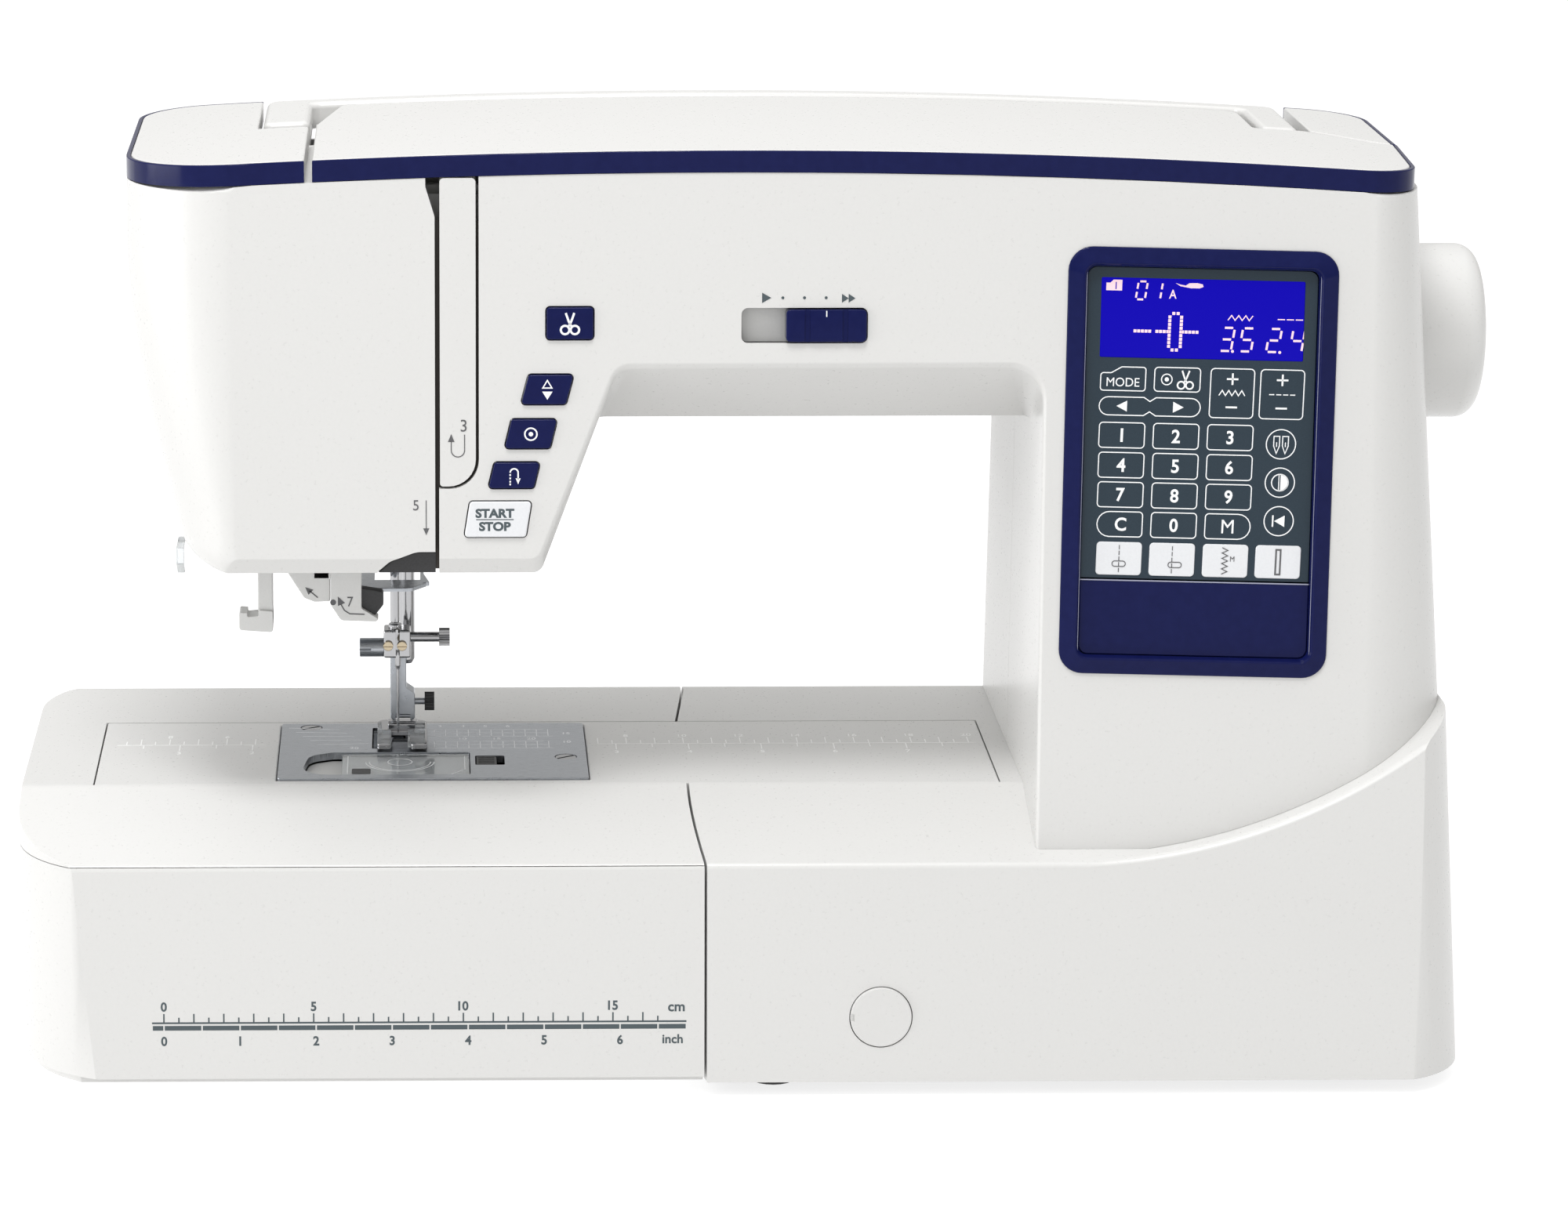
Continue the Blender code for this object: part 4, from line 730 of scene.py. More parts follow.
class Ink:
    """Flat shapes drawn in (u, v) millimetres on a surface, made into thin closed plates."""

    def __init__(self, place, thickness=0.12):
        self.place = place
        self.thickness = thickness
        self.shape = bmesh.new()

    def fill(self, points):
        verts = [self.shape.verts.new((u * MM, 0.0, v * MM)) for u, v in points]
        self.shape.faces.new(verts)

    def stroke(self, points, width, closed=False):
        """A line of even width, mitred at its corners."""
        points = [Vector(point) for point in points]
        count = len(points)
        sides = ([], [])
        for index, here in enumerate(points):
            before = points[index - 1] if index or closed else None
            after = points[(index + 1) % count] if index < count - 1 or closed else None
            into = (here - before).normalized() if before is not None else None
            out = (after - here).normalized() if after is not None else None
            along = ((into or out) + (out or into)).normalized()
            across = Vector((-along.y, along.x))
            reach = width / 2 / max(0.45, along.dot(out or into))
            sides[0].append(here + across * reach)
            sides[1].append(here - across * reach)
        rows = [[self.shape.verts.new((p.x * MM, 0.0, p.y * MM)) for p in side] for side in sides]
        for index in range(count if closed else count - 1):
            after = (index + 1) % count
            self.shape.faces.new((rows[0][index], rows[0][after], rows[1][after], rows[1][index]))

    def arc(self, centre, radius, width, start=0.0, sweep=360.0, steps=28):
        closed = abs(sweep) >= 360.0
        angles = [math.radians(start + sweep * step / steps) for step in range(steps + (not closed))]
        self.stroke([(centre[0] + radius * math.cos(a), centre[1] + radius * math.sin(a))
                     for a in angles], width, closed)

    def disc(self, centre, radius, steps=20):
        self.fill([(centre[0] + radius * math.cos(2 * math.pi * s / steps),
                    centre[1] + radius * math.sin(2 * math.pi * s / steps)) for s in range(steps)])

    def arrow(self, tip, direction, length, width):
        """A solid arrow head."""
        along = Vector(direction).normalized()
        across = Vector((-along.y, along.x))
        back = Vector(tip) - along * length
        self.fill([Vector(tip), back + across * width / 2, back - across * width / 2])

    def text(self, words, centre, height, weight=0.0, stretch=1.0, shear=0.0):
        curve = bpy.data.curves.new("words", "FONT")
        curve.body = words
        curve.size = 1.0
        curve.offset = weight
        curve.shear = shear
        curve.resolution_u = 4
        made = bpy.data.objects.new("words", curve)
        bpy.context.scene.collection.objects.link(made)
        graph = bpy.context.evaluated_depsgraph_get()
        mesh = bpy.data.meshes.new_from_object(made.evaluated_get(graph))
        bpy.data.objects.remove(made, do_unlink=True)
        spots = [vert.co.copy() for vert in mesh.vertices]
        left, right = min(s.x for s in spots), max(s.x for s in spots)
        base, top = min(s.y for s in spots), max(s.y for s in spots)
        scale = height * MM / (top - base)
        for vert, spot in zip(mesh.vertices, spots):
            vert.co = ((spot.x - (left + right) / 2) * scale * stretch + centre[0] * MM, 0.0,
                       (spot.y - (base + top) / 2) * scale + centre[1] * MM)
        self.shape.from_mesh(mesh)
        bpy.data.meshes.remove(mesh)

    def publish(self, name, body, material, lift=0.0):
        """Gives the drawing its thickness, half sunk so that it never floats."""
        bmesh.ops.remove_doubles(self.shape, verts=self.shape.verts, dist=0.000004)
        for face in self.shape.faces:
            face.normal_update()
        flip = [face for face in self.shape.faces if face.normal.y > 0]
        bmesh.ops.reverse_faces(self.shape, faces=flip)
        grown = bmesh.ops.extrude_face_region(self.shape, geom=self.shape.faces[:])
        risen = [item for item in grown["geom"] if isinstance(item, bmesh.types.BMVert)]
        bmesh.ops.translate(self.shape, verts=risen, vec=(0.0, -self.thickness * MM, 0.0))
        bmesh.ops.translate(self.shape, verts=self.shape.verts,
                            vec=(0.0, (self.thickness * 0.6 - lift) * MM, 0.0))
        bmesh.ops.transform(self.shape, matrix=self.place, verts=self.shape.verts)
        made = add_object(name, mesh_from(name, self.shape))
        return publish(made, name, body, material)


def scissors(ink, centre, height, width=0.5):
    """Open scissors, points up."""
    u, v = centre
    loop = height * 0.2
    for side in (-1, 1):
        ink.arc((u + side * loop * 1.15, v - height * 0.3), loop, width * 1.25, steps=18)
        ink.stroke([(u + side * loop * 0.35, v - height * 0.14),
                    (u - side * height * 0.05, v + height * 0.08),
                    (u - side * height * 0.2, v + height * 0.5)], width * 1.3)


def zigzag(ink, low_u, high_u, v, height, count, width):
    step = (high_u - low_u) / count
    ink.stroke([(low_u + step * i, v + (height / 2 if i % 2 else -height / 2))
                for i in range(count + 1)], width)


def dashes(ink, low_u, high_u, v, count, gap, width):
    length = (high_u - low_u - gap * (count - 1)) / count
    for index in range(count):
        start = low_u + index * (length + gap)
        ink.stroke([(start, v), (start + length, v)], width)


SEGMENTS = {"0": "abcdef", "1": "bc", "2": "abged", "3": "abgcd", "4": "fgbc", "5": "afgcd",
            "6": "afgedc", "7": "abc", "8": "abcdefg", "9": "abcdfg"}


def seven_segment(ink, digit, centre, height, width, thick, slant=0.1):
    u, v = centre
    half_w, half_h = width / 2, height / 2
    gap = thick * 0.35
    lines = {"a": ((-half_w, half_h), (half_w, half_h)), "g": ((-half_w, 0), (half_w, 0)),
             "d": ((-half_w, -half_h), (half_w, -half_h)), "f": ((-half_w, half_h), (-half_w, 0)),
             "b": ((half_w, half_h), (half_w, 0)), "e": ((-half_w, 0), (-half_w, -half_h)),
             "c": ((half_w, 0), (half_w, -half_h))}
    for letter in SEGMENTS[digit]:
        start, end = (Vector(point) for point in lines[letter])
        along = (end - start).normalized()
        start, end = start + along * (gap + thick / 2), end - along * (gap + thick / 2)
        ink.stroke([(u + p.x + slant * p.y, v + p.y) for p in (start, end)], thick)


# ------------------------------------------------------------ control panel

SEAM = -39.4
PANEL_STRETCH = 1.007


def panel_place():
    return face_place(PANEL_X, PANEL_Z, PANEL_ROLL) @ Matrix.Diagonal((1, 1, PANEL_STRETCH, 1))


BEZEL_WIDTH = 6.4
BEZEL_PROUD = 2.5
KEY_SHEAR = 0.022             # the columns of keys lean a little


def panel_outline(shift, radius, low_v=None):
    half_width, half_height = PANEL_WIDTH / 2 - shift, PANEL_HEIGHT / 2 - shift
    bottom = -half_height if low_v is None else low_v
    return rounded([(u - PANEL_SHEAR * v, v, radius) for u, v in
                    ((-half_width, bottom), (half_width, bottom), (half_width, half_height),
                     (-half_width, half_height))], 8)


def make_bezel():
    levels = [(0.0, 8.0, 0.3), (0.0, 8.0, -0.3), (0.25, 7.8, -0.6), (0.7, 7.4, -0.75),
              (4.7, 4.3, 0.15 - BEZEL_PROUD), (5.1, 4.0, -BEZEL_PROUD), (5.5, 3.8, 0.1 - BEZEL_PROUD),
              (BEZEL_WIDTH, 3.0, -0.9), (BEZEL_WIDTH, 3.0, 2.0), (5.6, 3.6, 4.0)]
    rings = [[(u, depth, v) for u, v in panel_outline(shift, radius)] for shift, radius, depth in levels]
    bezel = on_face(loft(rings, ring_closed=True), PANEL_X, PANEL_Z, PANEL_ROLL)
    publish(bezel, "panel_bezel", "machine", "navy", ["panel_frame"], 50.0)
    lower = [point for point in panel_outline(BEZEL_WIDTH + 0.15, 3.0) if point[1] < SEAM]
    edge = PANEL_WIDTH / 2 - BEZEL_WIDTH - 0.15
    lower += [(edge - PANEL_SHEAR * SEAM, SEAM), (-edge - PANEL_SHEAR * SEAM, SEAM)]
    blank = plate(sort_round(lower), 2.0, 0.25, "XZ", 0.3)
    publish(on_face(blank, PANEL_X, PANEL_Z, PANEL_ROLL), "panel_blank", "machine", "navy")
    # A pale line round the inside of the bezel: painted highlight on its inner edge.
    highlight_ink = Ink(panel_place(), 0.12)
    highlight_ink.stroke(panel_outline(BEZEL_WIDTH - 0.45, 3.3), 0.3, True)
    highlight_ink.publish("panel_rim_highlight", "machine", "painted_edge_highlight", 1.65)
    # A pale line along the top of the blank panel: painted highlight on its edge.
    highlight_ink = Ink(panel_place(), 0.12)
    highlight_ink.stroke([(-edge - PANEL_SHEAR * SEAM, SEAM + 0.1), (edge - PANEL_SHEAR * SEAM, SEAM + 0.1)], 0.4)
    highlight_ink.publish("panel_seam_highlight", "machine", "painted_edge_highlight", -0.15)


def sort_round(points):
    """Points of a convex outline in order round their middle."""
    middle = sum((Vector(point) for point in points), Vector((0, 0))) / len(points)
    return sorted((Vector(point) for point in points),
                  key=lambda p: math.atan2(p.y - middle.y, p.x - middle.x))


DISPLAY = (-33.4, 34.6, 33.7, 61.0)


def sheared(u, v):
    return (u - PANEL_SHEAR * v, v)


def make_overlay():
    edge = PANEL_WIDTH / 2 - BEZEL_WIDTH - 0.25
    upper = [point for point in panel_outline(BEZEL_WIDTH + 0.25, 3.0) if point[1] > SEAM]
    upper += [(edge - PANEL_SHEAR * SEAM, SEAM + 0.45), (-edge - PANEL_SHEAR * SEAM, SEAM + 0.45)]
    overlay = plate(sort_round(upper), 1.6, 0.55, "XZ", 0.15, 2)
    low_u, low_v, high_u, high_v = DISPLAY
    window = rounded([(*sheared(u, v), 0.5) for u, v in
                      ((low_u, low_v), (high_u, low_v), (high_u, high_v), (low_u, high_v))], 3)
    subtract(overlay, extruded(window, -3, 5, "XZ"))
    publish(on_face(overlay, PANEL_X, PANEL_Z, PANEL_ROLL), "keypad_sheet", "machine", "slate",
            ["keypad_overlay"])
    glass = plate(inset(window, 0.08), 2.4, 0.75, "XZ", 0.1, 1)
    publish(on_face(glass, PANEL_X, PANEL_Z, PANEL_ROLL), "display_glass", "machine", "display",
            ["display"])


COLUMNS = (-25.4, -7.5, 10.4, 27.3)
ROWS = (8.8, -1.1, -10.9, -20.7)
KEY = (15.0, 8.3)


def key_spot(column, v):
    return (COLUMNS[column] - KEY_SHEAR * v, v)


def key_outline(centre, size, radii):
    (u, v), (width, height) = centre, (size[0] / 2, size[1] / 2)
    corners = [(u - width, v - height), (u + width, v - height), (u + width, v + height),
               (u - width, v + height)]
    return rounded([(*corner, radius) for corner, radius in zip(corners, radii)], 5)


LINE = 0.34


def draw_mode_keys(ink):
    u, v = key_spot(0, 27.4)
    tab = rounded([(u - 7.4, v - 3.9, 0.9), (u + 7.4, v - 3.9, 0.9), (u + 7.4, v + 3.9, 0.9),
                   (u - 0.6, v + 3.9, 0.5), (u - 4.0, v + 1.9, 0.8), (u - 7.4, v + 1.9, 0.9)], 3)
    ink.stroke(tab, LINE, True)
    ink.text("MODE", (u, v - 1.1), 2.9, 0.0, 0.95)
    u, v = key_spot(1, 27.5)
    ink.stroke(key_outline((u, v), (15.1, 7.9), (1.2,) * 4), LINE, True)
    ink.arc((u - 3.5, v), 1.75, 0.35)
    ink.disc((u - 3.5, v), 0.7)
    scissors(ink, (u + 2.7, v), 6.0, 0.42)
    # Joined left and right keys
    u, v = -16.4 - KEY_SHEAR * 18.4, 18.4
    half, reach = 3.0, 16.7
    waist = []
    for side in (1, -1):
        waist.append([(u + side * 2.0, v + side * half), (u, v + side * (half - 1.3)),
                      (u - side * 2.0, v + side * half)])
    left = [(u - reach + half + half * math.cos(math.radians(a)), v + half * math.sin(math.radians(a)))
            for a in range(90, 271, 18)]
    right = [(u + reach - half + half * math.cos(math.radians(a)), v + half * math.sin(math.radians(a)))
             for a in range(-90, 91, 18)]
    ink.stroke(waist[0] + left + waist[1] + right, LINE, True)
    ink.arrow((u - 11.0, v), (-1, 0), 3.5, 3.6)
    ink.arrow((u + 11.2, v), (1, 0), 3.5, 3.6)


def draw_size_keys(ink):
    for centre in ((10.2, 23.4), (26.7, 23.4)):
        u, v = centre[0] - 0.1, centre[1]
        ink.stroke(key_outline((u, v), (14.4, 16.2), (1.3,) * 4), LINE, True)
        ink.stroke([(u - 1.9, v + 4.7), (u + 1.9, v + 4.7)], 0.6)
        ink.stroke([(u, v + 6.6), (u, v + 2.8)], 0.6)
        ink.stroke([(u - 1.9, v - 4.6), (u + 1.9, v - 4.6)], 0.6)
    zigzag(ink, 5.8, 14.4, 23.5, 1.7, 8, 0.34)
    dashes(ink, 22.4, 31.0, 23.3, 4, 0.6, 0.34)


def draw_number_keys(ink):
    labels = (("1", "2", "3"), ("4", "5", "6"), ("7", "8", "9"), ("C", "0", "M"))
    for row, names in zip(ROWS, labels):
        for column, name in enumerate(names):
            u, v = key_spot(column, row)
            round_left, round_right = name == "C", name == "M"
            radii = (4.1 if round_left else 1.2, 4.1 if round_right else 1.2,
                     4.1 if round_right else 1.2, 4.1 if round_left else 1.2)
            ink.stroke(key_outline((u, v), KEY, radii), LINE, True)
            ink.text(name, (u + (0.3 if name == "C" else 0.0), v), 4.5, 0.0 if name == "M" else 0.022,
                     0.95)


def draw_round_keys(ink):
    spots = [key_spot(3, v) for v in (7.0, -5.7, -18.5)]
    for spot in spots:
        ink.arc(spot, 4.85, LINE, steps=40)
    u, v = spots[0]
    for side in (-1, 1):
        centre = u + side * 1.45
        ink.stroke([(centre - 0.95, v + 2.6), (centre + 0.95, v + 2.6), (centre + 0.95, v - 0.6),
                    (centre, v - 3.1), (centre - 0.95, v - 0.6)], 0.32, True)
        ink.stroke([(centre, v + 0.6), (centre, v - 0.9)], 0.3)
    u, v = spots[1]
    ink.arc((u, v), 2.75, 0.36)
    ink.fill([(u + 0.2, v - 2.7)] + [(u + 0.2 + 2.6 * math.sin(math.radians(a)),
                                      v - 2.7 * math.cos(math.radians(a))) for a in range(10, 180, 12)]
             + [(u + 0.2, v + 2.7)])
    ink.stroke([(u - 0.35, v - 2.7), (u - 0.35, v + 2.7)], 0.3)
    u, v = spots[2]
    ink.stroke([(u - 2.0, v + 1.9), (u - 2.0, v - 1.9)], 0.5)
    ink.arrow((u - 1.5, v), (-1, 0), 3.4, 3.8)


def make_keypad():
    place = panel_place()
    ink = Ink(place, 0.1)
    draw_mode_keys(ink)
    draw_size_keys(ink)
    draw_number_keys(ink)
    draw_round_keys(ink)
    ink.publish("keypad_legends", "machine", "ink_white", -0.5)

    marks = Ink(place, 0.1)
    caps = []
    for column, centre_u in enumerate((-24.7, -7.1, 10.6, 28.1)):
        v = -32.1
        caps.append(plate(key_outline((centre_u, v), (15.1, 11.0), (1.3,) * 4), 1.2, 0.2, "XZ", 0.35))
        u = centre_u
        if column < 2:
            dashes_up(marks, u, v)
            shift = 0.0 if column == 0 else 1.0
            half = 2.2
            marks.stroke(key_outline((u + shift, v - 1.7), (half * 2, 1.8), (0.85,) * 4), 0.28, True)
        elif column == 2:
            marks.stroke([(u - 0.2 + (0.95 if i % 2 else -0.95), v + 4.4 - i * 0.88)
                          for i in range(11)], 0.3)
            marks.text("M", (u + 2.3, v + 0.7), 1.7, 0.0, 0.9)
        else:
            marks.stroke([(u - 0.75, v - 4.1), (u + 0.75, v - 4.1), (u + 0.75, v + 4.1),
                          (u - 0.75, v + 4.1)], 0.55, True)
    publish(moved(joined(*caps), place), "stitch_keys", "machine", "key_white")
    marks.publish("stitch_key_marks", "machine", "ink_grey", -0.14)


def dashes_up(ink, u, v):
    for index in range(5):
        high_v = v + 4.5 - index * 1.9
        ink.stroke([(u, high_v), (u, high_v - 1.4)], 0.28)


def make_display():
    ink = Ink(panel_place(), 0.06)
    u, v = -30.3, 57.9
    ink.fill([(u - 2.6, v - 1.6), (u + 2.6, v - 1.6), (u + 2.6, v + 1.9), (u - 0.3, v + 1.9),
              (u - 1.3, v + 0.9), (u - 2.6, v + 0.9)])
    for index, digit in enumerate("01"):
        seven_segment(ink, digit, (-21.2 + index * 5.0, 56.5), 5.9, 3.0, 0.62, 0.13)
    ink.text("A", (-10.9, 55.5), 2.9, 0.01, 0.85)
    foot = [(-10.2, 59.2), (-8.6, 58.2), (-5.2, 57.6), (-2.2, 57.6), (-1.0, 58.1), (-1.2, 58.9),
            (-3.0, 59.3), (-5.6, 59.2), (-6.8, 58.4), (-8.6, 58.7)]
    ink.fill(foot[::-1])
    pixel, pitch = 0.98, 1.2
    left_u, middle_v = -22.8, 43.2
    cells = [(column, 0) for column in range(5)] + [(column, 0) for column in range(6, 10)]
    cells += [(column, 0) for column in range(13, 18)]
    cells += [(column, row) for column in (9.4, 12.6) for row in range(-4, 5)]
    cells += [(column, row) for column in (10.4, 11.6) for row in (-5, 5)]
    for column, row in cells:
        centre_u, centre_v = left_u + column * pitch, middle_v + row * pitch
        half = pixel / 2
        ink.fill([(centre_u - half, centre_v - half), (centre_u + half, centre_v - half),
                  (centre_u + half, centre_v + half), (centre_u - half, centre_v + half)])
    zigzag(ink, 7.6, 15.8, 48.2, 1.6, 7, 0.32)
    dashes(ink, 24.0, 32.3, 48.0, 3, 0.6, 0.34)
    for centre_u, digit in ((7.6, "3"), (14.2, "5"), (23.1, "2"), (30.8, "4")):
        seven_segment(ink, digit, (centre_u, 41.1), 7.6, 3.9, 0.7, 0.13)
    ink.disc((9.6, 37.2), 0.5, 8)
    ink.disc((25.2, 37.2), 0.5, 8)
    ink.publish("display_segments", "machine", "segment", -0.72)
    hole = Ink(panel_place(), 0.06)
    hole.text("1", (-29.7, 57.9), 2.4, 0.01, 0.9)
    hole.publish("display_mode_digit", "machine", "display", -0.69)


# ------------------------------------------------------------ front buttons

def make_button(name, low_x, low_z, high_x, high_z, slant):
    """A cap with a soft rim, proud of its hole, and its sign."""
    white = name == "start_stop_button"
    outline = face_outline(low_x, low_z, high_x, high_z, 1.1, slant)
    cap = plate(outline, 5.5, -0.9, "XZ", 0.5)
    x, z = (low_x + high_x) / 2, (low_z + high_z) / 2
    publish(on_face(cap, x, z), name + "_cap", name, "key_white" if white else "navy", [name])
    ink = Ink(face_place(x, z), 0.1)
    if white:
        ink.text("START", (-1.0, 2.1), 3.1, 0.045, 1.1)
        ink.text("STOP", (-1.0, -2.3), 3.1, 0.045, 1.1)
        ink.stroke([(-7.2, 0), (5.2, 0)], 0.32)
    elif name == "thread_cutter_button":
        scissors(ink, (0, 0), 7.0, 0.55)
    elif name == "needle_position_button":
        ink.stroke([(-1.5, 0.6), (1.5, 0.6), (0, 3.1)], 0.4, True)
        ink.arrow((0, -3.3), (0, -1), 2.7, 3.4)
    elif name == "lock_stitch_button":
        ink.arc((0, 0), 2.0, 0.5)
        ink.disc((0, 0), 0.75)
    else:
        ink.arc((0, 1.0), 1.3, 0.5, 180, -180, 12)
        ink.stroke([(1.3, 1.0), (1.3, -1.2)], 0.5)
        ink.arrow((1.3, -2.9), (0, -1), 2.0, 1.6)
        for v in (0.5, -0.6, -1.7, -2.6):
            ink.stroke([(-1.3, v), (-1.3, v - 0.6)], 0.5)
    ink.publish(name + "_sign", name, "ink_slate" if white else "ink_white", 0.9)


def make_slider():
    low_x, low_z, high_x, high_z = SLIDER_KNOB
    x, z = (low_x + high_x) / 2, (low_z + high_z) / 2
    knob = plate(face_outline(low_x, low_z, high_x, high_z, 1.5), 5.0, -1.3, "XZ", 0.5)
    for u in (-6.2, 6.2):
        subtract(knob, extruded([(u - 0.9, -6.5), (u + 0.9, -6.5), (u + 0.9, 6.5), (u - 0.9, 6.5)],
                                -2.0, -0.9, "XZ"))
    round_edges(knob, 0.25)
    publish(on_face(knob, x, z), "speed_slider_knob", "speed_slider", "navy", ["speed_slider"])
    ink = Ink(face_place(x, z), 0.1)
    ink.stroke([(0, 5.0), (0, 3.0)], 0.35)
    ink.publish("speed_slider_mark", "speed_slider", "ink_white", 1.3)


def make_face_marks():
    ink = Ink(face_place(12.6, 267.5), 0.08)
    ink.arrow((-11.0, 0), (1, 0), 3.0, 3.4)
    for u in (-7.2, -0.1, 7.0):
        ink.disc((u, 0), 0.5, 12)
    ink.arrow((14.4, -0.2), (1, 0), 2.2, 2.9)
    ink.arrow((16.6, -0.2), (1, 0), 2.2, 2.9)
    ink.publish("speed_marks", "machine", "ink_slate")
    ink = Ink(face_place(-101.0, 220.0), 0.08)
    ink.text("3", (1.7, 5.6), 4.0, 0.0, 0.95)
    ink.stroke([(2.0, 2.6), (2.0, -2.6)], 0.32)
    ink.arc((-0.2, -2.6), 2.2, 0.32, 0, -180, 14)
    ink.stroke([(-2.4, -2.6), (-2.4, 0.6)], 0.32)
    ink.arrow((-2.4, 2.8), (0, 1), 2.6, 2.2)
    ink.publish("thread_path_mark_3", "machine", "ink_grey")
    ink = Ink(face_place(-113.5, 195.5), 0.08)
    ink.text("5", (-1.6, 3.7), 3.4, 0.0, 0.95)
    ink.stroke([(1.8, 5.3), (1.8, -4.2)], 0.3)
    ink.arrow((1.8, -6.3), (0, -1), 2.3, 2.0)
    ink.publish("thread_path_mark_5", "machine", "ink_grey")


# ------------------------------------------------------------ top of the machine

def crown(made, drop=0.0):
    """Bends a flat-topped plate built at z = 0 down to follow the crowned top."""
    def work(shape):
        for x in range(-208, 218, 8):
            geometry = shape.verts[:] + shape.edges[:] + shape.faces[:]
            bmesh.ops.bisect_plane(shape, geom=geometry, dist=0.0000005,
                                   plane_co=(x * MM, 0, 0), plane_no=(1, 0, 0))
        for vert in shape.verts:
            vert.co.z += (top_z(vert.co.x / MM) - drop) * MM
    return edit(made, work)


def crowned_plate(outline, thickness, edge=0.5, drop=0.0, steps=3):
    return crown(plate(outline, -thickness, 0.0, "XY", edge, steps), drop)


def make_lid():
    inner = TOP_FRONT + BAND_DEPTH
    plan = rounded([(LID_LEFT, inner, 1), (212.7, inner, 20), (216.6, -8, 0), (208.5, -5.2, 0),
                    (189.5, 10.8, 4), (172.0, 10.8, 3), (172.0, 50.5, 6), (LID_LEFT + 8, 50.5, 4),
                    (LID_LEFT, 6.6, 0)], 10)
    hollow = rounded([(LID_LEFT + 3, TOP_FRONT + 4.5, 1), (209.0, TOP_FRONT + 4.5, 17),
                      (212.0, -10, 2), (206.0, -8.0, 2), (188, 7.5, 3), (169, 7.5, 2),
                      (169, 46.5, 3), (LID_LEFT + 11, 46.5, 3), (LID_LEFT + 3.2, 8, 0)], 6)
    lid = subtract(crowned_plate(plan, BAND_HEIGHT - GAP, 0.7),
                   crown(plate(hollow, -12.0, -2.4, "XY", 0.0)))
    publish(lid, "lid_shell", "lid", "white", ["top_lid"], 30)
    ease = BAND_DEPTH - 0.15
    band = rounded([(LID_LEFT, TOP_FRONT, 0), (214.3, TOP_FRONT, 21), (218.0, -8, 0),
                    (216.75, -8, 0), (212.85, TOP_FRONT + ease, 20), (LID_LEFT, TOP_FRONT + ease, 0)],
                   14)
    publish(crowned_plate(band, BAND_HEIGHT, 0.4, 0.1), "lid_band_trim", "lid", "navy", ["lid_band"], 30)


def make_top_covers():
    step = BAND_DEPTH
    rear, handle_side = 68.0, -168.4
    left = rounded([(COVER_RIGHT, TOP_FRONT + step, 0), (COVER_RIGHT, 3.5, 2), (handle_side, 3.5, 0),
                    (handle_side, rear - step, 0), (HEAD_LEFT + step, rear - step, 24 - step),
                    (HEAD_LEFT + step, TOP_FRONT + step, HEAD_CORNER - step)], 14)
    publish(crowned_plate(left, BAND_HEIGHT - GAP, 0.7), "left_cover_shell", "machine", "white",
            ["top_left_cover"], 30)
    ease = step - 0.15
    band = rounded([(COVER_RIGHT, TOP_FRONT, 0), (COVER_RIGHT, TOP_FRONT + ease, 0),
                    (HEAD_LEFT + ease, TOP_FRONT + ease, HEAD_CORNER - ease),
                    (HEAD_LEFT + ease, rear - ease, 24 - ease), (handle_side, rear - ease, 0),
                    (handle_side, rear, 0), (HEAD_LEFT, rear, 24),
                    (HEAD_LEFT, TOP_FRONT, HEAD_CORNER)], 14)
    publish(crowned_plate(band, BAND_HEIGHT, 0.4, 0.1), "left_band_trim", "machine", "navy",
            ["left_band"], 30)
    right = rounded([(191.5, 12.0, 0), (209.5, -3.8, 0), (216.2, -6.2, 0), (216.5, rear - step, 18.5),
                     (191.5, rear - step, 0)], 12)
    publish(crowned_plate(right, BAND_HEIGHT - GAP, 0.7), "right_cover_shell", "machine", "white",
            ["top_right_cover"], 30)
    trim = rounded([(216.35, -6.3, 0), (217.8, -6.9, 0), (218.0, rear, 20), (191.5, rear, 0),
                    (191.5, rear - ease, 0), (216.65, rear - ease, 18.5)], 12)
    publish(crowned_plate(trim, BAND_HEIGHT, 0.4, 0.1), "right_band_trim", "machine", "navy", (), 30)


def make_handle():
    front, back = 13.0, 67.5
    plan = rounded([(-167, front, 3), (-151, front, 3), (-151, 57.5, 3), (175, 57.5, 3),
                    (175, front, 3), (188, front, 3), (188, back, 5), (-167, back, 5)], 6)
    handle = crowned_plate(plan, 8.9, 2.2, -0.1, 6)
    publish(handle, "carry_handle_grip", "handle", "white", ["carry_handle"])


def make_deck():
    """A spool holder and a winder under the lid."""
    spool = joined(rod((-40, 30, 295), (38, 30, 295), 3.0, 32, bevel=0.6),
                   box((32, 24, 286.3), (42, 36, 299), 1.0),
                   rod((-30, 30, 295), (-27, 30, 295), 11.0, 48, bevel=0.6))
    publish(spool, "spool_pin_and_cap", "machine", "white_satin", ["spool_pin"])
    profile = [(0, 0.1), (10.0, 0.1), (10.0, 2.6), (9.2, 3.4), (4.0, 3.8), (3.0, 4.4), (3.0, 16.0),
               (2.4, 16.7), (0, 16.7)]
    publish(turned(profile, (150, -20, 286.3), (0, 0, 1)), "winder_spindle", "winder", "white_satin",
            ["bobbin_winder_spindle"])


# ------------------------------------------------------------ base, free arm and table

BASE_CLEAR = 0.08
ARM_FRONT, ARM_REAR = FREE_FRONT, FREE_REAR


def section_outline(grow=0.0):
    """The lower body seen from the left end, as (y, z)."""
    return rounded([(BASE_FRONT - grow, BODY_BOTTOM, 0), (APRON_FRONT_Y - grow, APRON_FRONT_Z, 2.5),
                    (APRON_CREASE_Y, BED_TOP + grow, 10), (REAR_TRIM + grow, BED_TOP + grow, 22),
                    (REAR_TRIM + grow, BODY_BOTTOM, 0)], 8)


